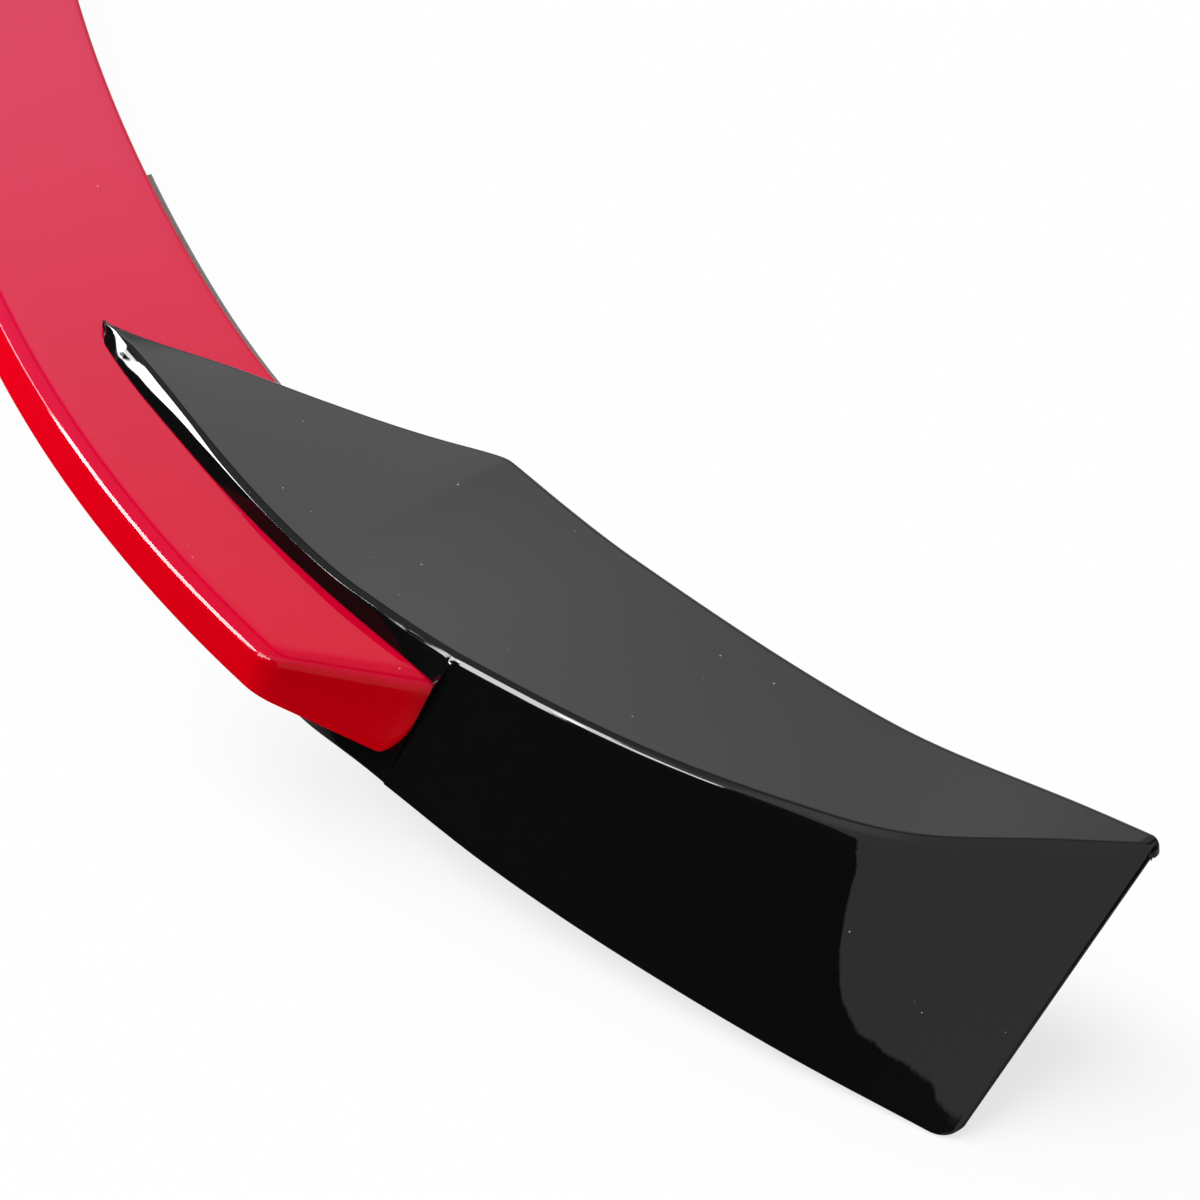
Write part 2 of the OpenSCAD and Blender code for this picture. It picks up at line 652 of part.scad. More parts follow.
module winglet_skin_right() { color(GLOSS_BLACK) winglet(); }
module winglet_skin_left() { color(GLOSS_BLACK) mirror([1, 0, 0]) winglet(); }
module winglet_liner_right() { color(MATT_BLACK) winglet_liner(); }
module winglet_liner_left() { color(MATT_BLACK) mirror([1, 0, 0]) winglet_liner(); }
module stiffening_channel() { color(ALUMINIUM) channel_shell(); }
module mount_block_inner_right() { color(MATT_BLACK) mount_block(1, inner_mount_x, inner_s); }
module mount_block_inner_left() { color(MATT_BLACK) mount_block(-1, inner_mount_x, inner_s); }
module mount_block_outer_right() { color(MATT_BLACK) mount_block(1, outer_mount_x, outer_mount_s); }
module mount_block_outer_left() { color(MATT_BLACK) mount_block(-1, outer_mount_x, outer_mount_s); }

module threaded_inserts_inner() {
    color(BRASS) for (side = [-1, 1]) threaded_insert(side, inner_mount_x, inner_s);
}

module threaded_inserts_outer() {
    color(BRASS) for (side = [-1, 1]) threaded_insert(side, outer_mount_x, outer_mount_s);
}

module mount_gaskets_inner() {
    color(FOAM) for (side = [-1, 1]) mount_gasket(side, inner_mount_x, inner_s);
}

module mount_gaskets_outer() {
    color(FOAM) for (side = [-1, 1]) mount_gasket(side, outer_mount_x, outer_mount_s);
}

module winglet_screws_right() { color(STEEL) winglet_screws(); }
module winglet_screws_left() { color(STEEL) mirror([1, 0, 0]) winglet_screws(); }
module locating_pins_right() { color(STEEL) locating_pins(); }
module locating_pins_left() { color(STEEL) mirror([1, 0, 0]) locating_pins(); }

lead_tape_right_stations = [for (s = blade_stations) if (s > tape_split && s < ridge_len) s];
lead_tape_centre_stations = [for (s = blade_stations) if (abs(s) < tape_split - lead_tape_gap) s];

module tape_lead_centre() { color(TAPE) lead_tape(lead_tape_centre_stations, -1); }
module tape_lead_right() { color(TAPE) lead_tape(lead_tape_right_stations, tape_show); }
module tape_lead_left() { color(TAPE) mirror([1, 0, 0]) lead_tape(lead_tape_right_stations, tape_show); }
module tape_plinth() { color(TAPE) plinth_tape(); }
module tape_winglet_front_right() { color(TAPE) winglet_front_tape(); }
module tape_winglet_front_left() { color(TAPE) mirror([1, 0, 0]) winglet_front_tape(); }
module tape_winglet_rear_right() { color(TAPE) winglet_rear_tape(); }
module tape_winglet_rear_left() { color(TAPE) mirror([1, 0, 0]) winglet_rear_tape(); }

blade_skin();
base_panel();
winglet_skin_right();
winglet_skin_left();
winglet_liner_right();
winglet_liner_left();
stiffening_channel();
mount_block_inner_right();
mount_block_inner_left();
mount_block_outer_right();
mount_block_outer_left();
threaded_inserts_inner();
threaded_inserts_outer();
mount_gaskets_inner();
mount_gaskets_outer();
winglet_screws_right();
winglet_screws_left();
locating_pins_right();
locating_pins_left();
tape_lead_centre();
tape_lead_right();
tape_lead_left();
tape_plinth();
tape_winglet_front_right();
tape_winglet_front_left();
tape_winglet_rear_right();
tape_winglet_rear_left();
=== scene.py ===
import math

import bpy
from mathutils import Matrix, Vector


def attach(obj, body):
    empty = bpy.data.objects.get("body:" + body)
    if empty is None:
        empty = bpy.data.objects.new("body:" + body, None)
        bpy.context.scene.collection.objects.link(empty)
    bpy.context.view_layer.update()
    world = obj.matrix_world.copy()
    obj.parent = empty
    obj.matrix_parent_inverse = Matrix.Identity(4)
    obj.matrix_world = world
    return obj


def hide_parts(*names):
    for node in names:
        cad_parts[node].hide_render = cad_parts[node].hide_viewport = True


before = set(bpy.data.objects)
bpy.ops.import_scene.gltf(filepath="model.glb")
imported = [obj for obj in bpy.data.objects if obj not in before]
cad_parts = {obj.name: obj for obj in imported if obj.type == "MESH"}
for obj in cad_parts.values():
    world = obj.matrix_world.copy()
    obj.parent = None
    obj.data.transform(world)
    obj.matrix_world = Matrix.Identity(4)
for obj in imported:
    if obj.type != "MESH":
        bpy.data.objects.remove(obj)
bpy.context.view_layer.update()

# Shapes are worked out in millimetres and turned into metres when a mesh is made.
# A place is [s, a, z]: s is the arc length along the ridge (the blade's top rear edge) from the
# centre plane, a the distance ahead of the ridge, and z the height above the floor.
MM = 0.001

# ---- Camera: the photograph's view ----

IMAGE_SIDE = 1200
FOCAL_PX = 3430
SENSOR_MM = 36.0
CAMERA_PLACE = Vector((1.3151, -0.1941, 1.0404))
CAMERA_AZIMUTH = math.radians(75)
CAMERA_DIP = math.radians(48)


def add_camera():
    data = bpy.data.cameras.new("camera")
    data.sensor_width = SENSOR_MM
    data.lens = FOCAL_PX / IMAGE_SIDE * SENSOR_MM
    data.clip_start = 0.05
    camera = bpy.data.objects.new("camera", data)
    bpy.context.scene.collection.objects.link(camera)
    camera.location = CAMERA_PLACE
    camera.rotation_euler = (math.radians(90) - CAMERA_DIP, 0, CAMERA_AZIMUTH)
    bpy.context.scene.camera = camera


add_camera()

# ---- Driving sizes, in millimetres ----

# The ridge's middle and outer arcs, the blade's cut-off end, and the winglet's reach over the blade and past it
MID_LEN, MID_RADIUS = 250, 1394
OUTER_LEN, OUTER_RADIUS = 228, 747
END_LEN = 43
LAP_LEN, FREE = 257, 241
RIDGE_LEN = MID_LEN + OUTER_LEN
BLADE_END = RIDGE_LEN + END_LEN
TIP_S, OUTER_S = BLADE_END - LAP_LEN, BLADE_END + FREE
CORNER_AT = TIP_S + 0.677 * LAP_LEN

# Blade: chord, heights, the tail below the ridge, and the end, which is cut ahead and downwards
BLADE_CHORD, CHORD_GROWTH = 89, 9
RIDGE_Z, LEAD_Z, LEAD_LIP = 58, 42, 6
TAIL_H, TAIL_RUN = 17, 8
BLADE_WALL = 3
END_START = RIDGE_LEN - 8
END_RAKE, END_TOE, END_FALL = 0.88, 0.5, 0.27
CORNER_ROUND, END_ROUND, END_CLOSING = 7, 7, 0.75

# Base panel: how far its plinth is set in and how high it rises, its wall and its flange
PLINTH_SET, PLINTH_SET_END, PLINTH_RISE = 12, 9, 18.5
BASE_WALL, FLANGE_SET, FLANGE_FADE = 2.5, 1.2, 6
BASE_ROUND, BASE_FOLD = 2.5, 1.3

# Winglets and their liners
WINGLET_WALL, WINGLET_OVERHANG, WINGLET_STEP = 3, 46, 7.5
CREST_Z, OUTER_TIP_Z, FRONT_CORNER_Z = 62.5, 64, 49
WINGLET_LIP, SKIRT_Z, HEEL_Z, END_LEAN = 5.6, 17.6, 0, 11
OVERHANG_START, OVERHANG_FADE = 1, 8
TIP_ROUND, HEEL_ROUND = 6, 8
LINER_WALL, LINER_LIFT, LINER_SET, LINER_BEVEL = 2, 0.4, 2, 0.1
GAP = 0.3

# Bonding tapes
TAPE_W, TAPE_T, TAPE_SHOW, CENTRE_TAPE_SHOW = 9, 1.1, 3.2, -1
TAPE_SPLIT, TAPE_GAP = 151, 4
PLINTH_TAPE_INSET, FRONT_TAPE_INSET, REAR_TAPE_INSET = 7, 3, 4

# ---- Small helpers ----


def lerp(p, q, t):
    return p + (q - p) * t


def lerp2(p, q, t):
    return (lerp(p[0], q[0], t), lerp(p[1], q[1], t))


def clamp01(t):
    return max(0.0, min(1.0, t))


def ease(t):
    u = clamp01(t)
    return u * u * (3 - 2 * u)


def bend(x, w):
    """0 before a corner and x after it, with a parabola of half-width w between."""
    if x <= -w:
        return 0.0
    if x >= w:
        return x
    return (x + w) ** 2 / (4 * w)


def key_at(keys, s):
    """Smooth curve through keys (s, value), with the tangents of the neighbouring keys."""
    last = len(keys) - 1
    i = 0
    while i < last - 1 and s > keys[i + 1][0]:
        i += 1

    def slope(k):
        low, high = max(k - 1, 0), min(k + 1, last)
        return (keys[high][1] - keys[low][1]) / (keys[high][0] - keys[low][0])

    w = keys[i + 1][0] - keys[i][0]
    t = clamp01((s - keys[i][0]) / w)
    u = 1 - t
    return (keys[i][1] * u * u * (1 + 2 * t) + keys[i + 1][1] * t * t * (1 + 2 * u)
            + w * t * u * (slope(i) * u - slope(i + 1) * t))


def towards(p, q, d):
    """The point d away from p towards q."""
    length = math.dist(p, q)
    return lerp2(p, q, d / length)


def rounded(before, p, after, d_before, d_after, steps, most=0.48):
    """Points that round off corner p between its neighbours, along at most that share of each side."""
    b = towards(p, before, min(d_before, most * math.dist(p, before)))
    c = towards(p, after, min(d_after, most * math.dist(p, after)))
    points = []
    for i in range(steps + 1):
        t = i / steps
        u = 1 - t
        points.append(tuple(u * u * b[k] + 2 * t * u * p[k] + t * t * c[k] for k in (0, 1)))
    return points


def between(p, q, count):
    """count points spread evenly between p and q, both left out."""
    return [lerp2(p, q, (i + 1) / (count + 1)) for i in range(count)]


FLAT_MARGINS = ((0.3, 0.02), (1.0, 0.05))


def held_flat(p, q, count):
    """Like between, with two more points close to each end, so that the shading stays flat up to the ends."""
    length = math.dist(p, q)
    margins = [min(d / length, share) for d, share in FLAT_MARGINS]
    near = [lerp2(p, q, m) for m in margins]
    far = [lerp2(q, p, m) for m in reversed(margins)]
    return near + between(near[-1], far[0], count) + far


def free_at(share):
    """The station at that share of the winglet's free stretch, past the blade's end."""
    return BLADE_END + share * FREE


def stations_along(marks, counts):
    """Stations from mark to mark, with counts[i] even steps in stretch i."""
    out = []
    for i, count in enumerate(counts):
        out += [lerp(marks[i], marks[i + 1], j / count) for j in range(count)]
    return out + [marks[-1]]


# ---- Plan: the ridge, and the frame that runs along it ----


def heading(s):
    if s <= MID_LEN:
        return s / MID_RADIUS
    return MID_LEN / MID_RADIUS + (min(s, RIDGE_LEN) - MID_LEN) / OUTER_RADIUS


def ridge_xy(s):
    h = heading(s)
    if s <= MID_LEN:
        return (MID_RADIUS * math.sin(h), MID_RADIUS * (1 - math.cos(h)))
    if s <= RIDGE_LEN:
        x, y = ridge_xy(MID_LEN)
        h_mid = heading(MID_LEN)
        return (x + OUTER_RADIUS * (math.sin(h) - math.sin(h_mid)),
                y + OUTER_RADIUS * (math.cos(h_mid) - math.cos(h)))
    x, y = ridge_xy(RIDGE_LEN)
    return (x + (s - RIDGE_LEN) * math.cos(h), y + (s - RIDGE_LEN) * math.sin(h))


def plan_xy(s, a):
    x, y = ridge_xy(s)
    h = heading(s)
    return (x - a * math.sin(h), y + a * math.cos(h))


# ---- Blade ----


def lead_a(s):
    return BLADE_CHORD + CHORD_GROWTH * (s / RIDGE_LEN) ** 2


def top_z(s, a):
    return lerp(RIDGE_Z, LEAD_Z, min(1, a / lead_a(s)))


def rim_a(s):
    return END_RAKE * bend(s - END_START, CORNER_ROUND)


def tail_a(s):
    return -TAIL_RUN + END_TOE * bend(s - END_START, CORNER_ROUND)


def tail_z(s):
    return RIDGE_Z - TAIL_H - END_FALL * bend(s - END_START, CORNER_ROUND)


def end_share(s):
    u = clamp01((s - BLADE_END + END_ROUND) / END_ROUND)
    return END_CLOSING * (1 - math.sqrt(1 - u * u))


def blade_rim(s):
    return (rim_a(s), top_z(s, rim_a(s)))


def blade_tail(s):
    return lerp2((tail_a(s), tail_z(s)), blade_rim(s), end_share(s))


# ---- Winglet ----


def corner_cut(s, end, r):
    """How far an outline rounded off with radius r falls back at arc length s near that end."""
    u = clamp01((s - end + r) / r)
    return r * (1 - math.sqrt(1 - u * u))


LAP_A = lead_a(CORNER_AT) + WINGLET_OVERHANG
FRONT_KEYS = [
    (TIP_S, 41), (TIP_S + 10, 48), (TIP_S + 56, 81), (CORNER_AT - 26, LAP_A - 12.3),
    (CORNER_AT - 6, LAP_A - 2.1), (CORNER_AT + 4, LAP_A + 0.9), (BLADE_END, LAP_A + 1.5),
    (free_at(0.54), LAP_A + 12), (free_at(0.87), LAP_A + 31), (OUTER_S, LAP_A + 38)]
CREST_KEYS = [
    (TIP_S, 39.8), (TIP_S + 10, 42.2), (TIP_S + 60, 44.2), (lerp(TIP_S, BLADE_END, 0.64), 43.2),
    (BLADE_END - 50, 45), (BLADE_END, 54), (free_at(0.34), 76.5), (free_at(0.58), 98.5),
    (free_at(0.74), 118), (free_at(0.89), 152), (OUTER_S, key_at(FRONT_KEYS, OUTER_S) - 4)]
SKIRT_KEYS = [(BLADE_END, 11.4), (free_at(0.22), 16.3), (free_at(0.46), 26.2), (free_at(0.74), 42.5),
              (OUTER_S, 62)]
FRONT_Z_KEYS = [
    (TIP_S, top_z(TIP_S, 40) + 3.6), (CORNER_AT, FRONT_CORNER_Z), (BLADE_END + 20, FRONT_CORNER_Z + 0.5),
    (free_at(0.54), FRONT_CORNER_Z + 5.3), (OUTER_S, OUTER_TIP_Z)]
CREST_Z_KEYS = [
    (TIP_S, top_z(TIP_S, 40) + 3.8), (TIP_S + 10, top_z(TIP_S, 42) + 4.8),
    (TIP_S + 90, top_z(TIP_S, 44) + WINGLET_STEP), (BLADE_END, CREST_Z),
    (free_at(0.7), OUTER_TIP_Z + 1), (OUTER_S, OUTER_TIP_Z + 0.5)]


def front_a(s):
    return key_at(FRONT_KEYS, s) - corner_cut(s, OUTER_S, TIP_ROUND)


def front_z(s):
    return key_at(FRONT_Z_KEYS, s)


def crest_a(s):
    return key_at(CREST_KEYS, s) - corner_cut(s, OUTER_S, TIP_ROUND)


def crest_z(s):
    return key_at(CREST_Z_KEYS, s)


def skirt_a(s):
    return key_at(SKIRT_KEYS, s)


def skirt_foot(s):
    return (skirt_a(s), lerp(SKIRT_Z, HEEL_Z, (s - BLADE_END) / FREE))


def skirt_face_a(z):
    """The plane of the winglet's rear face at the blade's end."""
    return lerp(skirt_a(BLADE_END), crest_a(BLADE_END), (z - SKIRT_Z) / (CREST_Z - SKIRT_Z))


LAP_FOOT_KEYS = [(TIP_S, 38.6), (TIP_S + 10, 35.8), (TIP_S + 84, 39.3), (BLADE_END - END_LEN, 41.6),
                 (BLADE_END, skirt_face_a(top_z(BLADE_END, crest_a(BLADE_END))))]


def winglet_foot(s):
    if s < BLADE_END:
        a = key_at(LAP_FOOT_KEYS, s)
        return (a, top_z(s, a) + GAP)
    return towards(skirt_foot(s), (crest_a(s), crest_z(s)), corner_cut(s, OUTER_S, HEEL_ROUND))


def lip_foot_z(s):
    """The front lip's lower edge: on the blade's top, then hanging free where the front edge overhangs it."""
    return lerp(top_z(s, front_a(s) - WINGLET_WALL) + GAP, front_z(s) - WINGLET_LIP,
                ease((front_a(s) - lead_a(s) - OVERHANG_START) / OVERHANG_FADE))


def lean(s, z):
    """How far the outer end leans outwards, least at its top."""
    return END_LEAN * clamp01((s - BLADE_END) / FREE) ** 2 * clamp01((OUTER_TIP_Z - z) / OUTER_TIP_Z)


# The origin lies halfway between the rear face and the winglets' foremost corners
RIDGE_Y = -(plan_xy(OUTER_S, front_a(OUTER_S))[1] - TAIL_RUN) / 2


def place(s, a, z):
    x, y = plan_xy(abs(s), a)
    return Vector((math.copysign(x, s), y + RIDGE_Y, z)) * MM


# ---- Meshes ----

SHARP_ANGLE = math.radians(40)


def finish_mesh(name, vertices, faces, mirrored=False):
    """A mesh object; a mirrored one lies on the other side of the centre plane."""
    if mirrored:
        vertices = [Vector((-v.x, v.y, v.z)) for v in vertices]
        faces = [tuple(reversed(f)) for f in faces]
    mesh = bpy.data.meshes.new(name)
    mesh.from_pydata(vertices, [], faces)
    mesh.validate()
    mesh.shade_smooth()
    mesh.set_sharp_from_angle(angle=SHARP_ANGLE)
    piece = bpy.data.objects.new(name, mesh)
    bpy.context.scene.collection.objects.link(piece)
    return piece


def loft(name, loops, mirrored=False):
    """A closed solid through loops of points, all of the same count."""
    size = len(loops[0])
    vertices = [p for loop in loops for p in loop]
    faces = []
    for i in range(len(loops) - 1):
        low, high = i * size, (i + 1) * size
        for j in range(size):
            k = (j + 1) % size
            faces.append((low + j, low + k, high + k, high + j))
    faces.append(tuple(range(size - 1, -1, -1)))
    faces.append(tuple((len(loops) - 1) * size + j for j in range(size)))
    return finish_mesh(name, vertices, faces, mirrored)


def lofted(name, stations, section, mirrored=False, shift=None):
    """A solid through section(s) at each station, with its points shifted along the ridge by shift(s, z)."""
    loops = []
    for s in stations:
        loops.append([place(s + (shift(s, z) if shift else 0), a, z) for a, z in section(abs(s))])
    return loft(name, loops, mirrored)


# ---- Blade skin ----

# Roundings of the ridge (ahead of it and below it), the leading edge and the tail, some with a value at the end
RIDGE_IN, RIDGE_IN_END, RIDGE_OUT, LEAD_ROUND = 12, 13, 5.5, 2.2
TAIL_ROUND, TAIL_ROUND_END = 4, 6
# The most that the rear wall and the tail's rounding take of the rear face, and the latter of the wall
REAR_WALL_SHARE, TAIL_SHARE, TAIL_WALL_SHARE = 0.3, 0.3, 0.4
TIP_INSET = 0.15


def both_sides(half):
    return [-s for s in reversed(half) if s > 0] + half


BLADE_HALF = stations_along([0, END_START - 2 * CORNER_ROUND, END_START + 2 * CORNER_ROUND,
                             BLADE_END - END_ROUND, BLADE_END - TIP_INSET], [62, 26, 10, 14])


def blade_section(s):
    """Thin-walled section as a loop of (a, z), like the CAD's but with finer roundings."""
    front, crest, foot = (lead_a(s), LEAD_Z), blade_rim(s), blade_tail(s)
    top_len, face_len = math.dist(front, crest), math.dist(foot, crest)
    along = ((front[0] - crest[0]) / top_len, (front[1] - crest[1]) / top_len)
    down = ((foot[0] - crest[0]) / face_len, (foot[1] - crest[1]) / face_len)

    # The inner corner lies a wall below the top and a wall inside the rear face
    rear_wall = min(BLADE_WALL, REAR_WALL_SHARE * face_len)
    top_in, rear_in = (along[1], -along[0]), (-down[1], down[0])
    share = top_in[0] * rear_in[0] + top_in[1] * rear_in[1]
    scale_top = (BLADE_WALL - share * rear_wall) / (1 - share * share)
    scale_rear = (rear_wall - share * BLADE_WALL) / (1 - share * share)
    inner_crest = tuple(crest[k] + scale_top * top_in[k] + scale_rear * rear_in[k] for k in (0, 1))
    reach = (foot[1] - inner_crest[1]) / down[1]
    inner_foot = (inner_crest[0] + down[0] * reach, foot[1])
    reach = (front[0] - BLADE_WALL - inner_crest[0]) / along[0]
    inner_front = (inner_crest[0] + along[0] * reach, inner_crest[1] + along[1] * reach)
    lip_foot = (front[0], front[1] - LEAD_LIP)

    near_end = ease((s - RIDGE_LEN) / END_LEN)
    crest_in, tail_round = lerp(RIDGE_IN, RIDGE_IN_END, near_end), lerp(TAIL_ROUND, TAIL_ROUND_END, near_end)
    lip_arc = rounded(lip_foot, front, crest, LEAD_ROUND, LEAD_ROUND, 6)
    crest_arc = rounded(front, crest, foot, crest_in, RIDGE_OUT, 16)
    foot_arc = rounded(crest, foot, inner_foot, min(tail_round, TAIL_SHARE * face_len),
                       TAIL_WALL_SHARE * BLADE_WALL, 6)
    inner_arc = rounded(inner_foot, inner_crest, inner_front, RIDGE_OUT - 1, crest_in - 1, 12)
    return ([lip_foot] + lip_arc + between(lip_arc[-1], crest_arc[0], 10) + crest_arc
            + between(crest_arc[-1], foot_arc[0], 6) + foot_arc + [inner_foot] + inner_arc
            + [inner_front, (inner_front[0], lip_foot[1])])


def make_blade():
    return lofted("blade", both_sides(BLADE_HALF), blade_section)


# ---- Base panel ----


def plinth_a(s):
    along = lerp(PLINTH_SET, PLINTH_SET_END, ease(s / RIDGE_LEN))
    return lerp(along, skirt_a(BLADE_END), ease((s - RIDGE_LEN) / END_LEN))


def plinth_z(s):
    along = PLINTH_RISE * math.sin(math.radians(90 * min(1, s / RIDGE_LEN))) ** 2
    return lerp(along, SKIRT_Z, ease((s - RIDGE_LEN) / END_LEN))


def floor_front(s):
    return (lead_a(s) - BLADE_WALL - GAP, LEAD_Z - LEAD_LIP)


def floor_z(s, a):
    front = floor_front(s)
    return lerp(plinth_z(s), front[1], (a - plinth_a(s)) / (front[0] - plinth_a(s)))


def flange_share(s):
    return clamp01((BLADE_END - END_ROUND - s) / FLANGE_FADE)


def plinth_top(s):
    z = blade_tail(s)[1] + lerp(-2 * GAP, FLANGE_SET, flange_share(s))
    return (lerp(plinth_a(s) - 1, skirt_face_a(z), ease((s - RIDGE_LEN) / END_LEN)), z)


def tail_lean(s):
    return (rim_a(s) - tail_a(s)) / (top_z(s, rim_a(s)) - tail_z(s))


def flange_back(s, z):
    most = plinth_top(s)[0] - GAP
    inside = (tail_a(s) + tail_lean(s) * (z - tail_z(s))
              + BLADE_WALL * math.sqrt(1 + tail_lean(s) ** 2) + 2 * GAP)
    return lerp(most, min(inside, most), flange_share(s))


def base_section(s):
    """Floor, plinth and flange, as a loop of (a, z) that starts inside the leading edge."""
    w = BASE_WALL
    flange_w = lerp(GAP, w, flange_share(s))
    pa, pz = plinth_a(s), plinth_z(s)
    ta, tz = plinth_top(s)
    fa, fz = floor_front(s)
    slope = (fz - pz) / (fa - pa)
    top = tz + flange_w
    bottom_arc = rounded((ta, tz), (pa, pz), (fa, fz), BASE_ROUND, BASE_ROUND, 6)
    floor = between(bottom_arc[-1], (fa, fz), 6)
    return ([(fa, fz + w), (lerp(pa, fa, 0.5), lerp(pz, fz, 0.5) + w + 0.4),
             (pa + w + 1, pz + w + 1 + w * slope), (ta + BASE_FOLD * w, top),
             (flange_back(s, top), top), (flange_back(s, tz), tz), (ta, tz)]
            + between((ta, tz), bottom_arc[0], 3) + bottom_arc + floor + [(fa, fz)])


def make_base():
    return lofted("base", both_sides(BLADE_HALF), base_section)


# ---- Winglet skins ----

# Finer shape of the winglet than the CAD's: below its top a narrow shoulder, then the rounding down to
# the rear face, and bullnosed outer edges. Each row of keys is (station, value).
SHOULDER_AHEAD = [(TIP_S, 0.5), (TIP_S + 20, 2.5), (TIP_S + 60, 3.3), (BLADE_END - 50, 2.5), (BLADE_END, 0)]
SHOULDER_WIDTH = [(TIP_S, 0.5), (TIP_S + 25, 3), (BLADE_END - 60, 3), (BLADE_END, 4), (free_at(0.5), 4),
                  (free_at(0.75), 9), (OUTER_S - 12, 8), (OUTER_S, 3)]
SHOULDER_TILT = [(TIP_S, 13), (TIP_S + 100, 10), (BLADE_END - 40, 10), (BLADE_END, 15), (free_at(0.6), 18),
                 (OUTER_S, 20)]
CREST_BACK = [(BLADE_END - 50, 0), (BLADE_END, 1.5), (free_at(0.3), 4.5), (free_at(0.6), 4.5),
              (free_at(0.8), 2.5), (OUTER_S, 0)]
CREST_DROP = [(TIP_S, -0.8), (TIP_S + 30, -1.6), (TIP_S + 60, -0.8), (BLADE_END - 93, 1.6),
              (BLADE_END - 40, 1.6), (BLADE_END, 1), (free_at(0.35), 0.4), (free_at(0.6), 0), (OUTER_S, 0)]
DROP_AHEAD = 0.56
REAR_ROUND = [(TIP_S, 0.8), (TIP_S + 20, 5), (TIP_S + 70, 5), (TIP_S + 105, 0.8), (BLADE_END - 45, 0.8),
              (BLADE_END - 5, 5), (BLADE_END + 30, 4.5), (free_at(0.35), 2.2), (free_at(0.5), 2),
              (free_at(0.8), 14), (OUTER_S - 12, 12), (OUTER_S, 4)]
SHOULDER_ROUND, FRONT_ROUND, FOOT_ROUND = 0.9, 2.6, 2.6
LAP_FOOT_ROUND, LAP_CORNER_ROUND = 0.4, 5
EDGE_ROUND = 1.35
OUTER_LIP = 0.45

# The length of top below which the shoulder shrinks, and the most that the wall and the roundings of the lip,
# the front edge, the foot and the rear face take of the side that they lie on
FULL_TOP = 14
WALL_SHARE, LIP_SHARE, TOP_SHARE, FOOT_SHARE = 0.35, 0.4, 0.3, 0.45
LAP_REAR_SHARE, FREE_REAR_SHARE, REAR_SHARE_FADE = 0.85, 0.6, 40
# The wall's width at the foot, and how much further in its inner corner lies where the rear edge is rounder
FOOT_WALL, INNER_ROUND = 1.35, 0.2

WINGLET_STATIONS = (
    [TIP_S - 1.4, TIP_S - 1.2, TIP_S - 0.7]
    + stations_along([TIP_S, TIP_S + 10, CORNER_AT - 12, CORNER_AT + 10, BLADE_END - 0.2], [14, 44, 18, 40])
    + stations_along([BLADE_END + 0.1, free_at(0.88), OUTER_S - HEEL_ROUND, OUTER_S - EDGE_ROUND], [60, 14, 16])
    + [OUTER_S - EDGE_ROUND * (1 - math.sin(math.radians(angle))) for angle in (15, 30, 45, 60, 75, 88)])


def offset_corner(before, corner, after, depth):
    """The corner moved by depth to the right of the way past it, square to the mean of its two sides."""
    run, rise = after[0] - before[0], after[1] - before[1]
    length = math.hypot(run, rise) or 1
    return (corner[0] + depth * rise / length, corner[1] - depth * run / length)


def shrunk(loop, depth):
    """The loop moved inwards by depth, towards the middle of the wall."""
    return [offset_corner(loop[(i + 1) % len(loop)], point, loop[i - 1], depth) for i, point in enumerate(loop)]


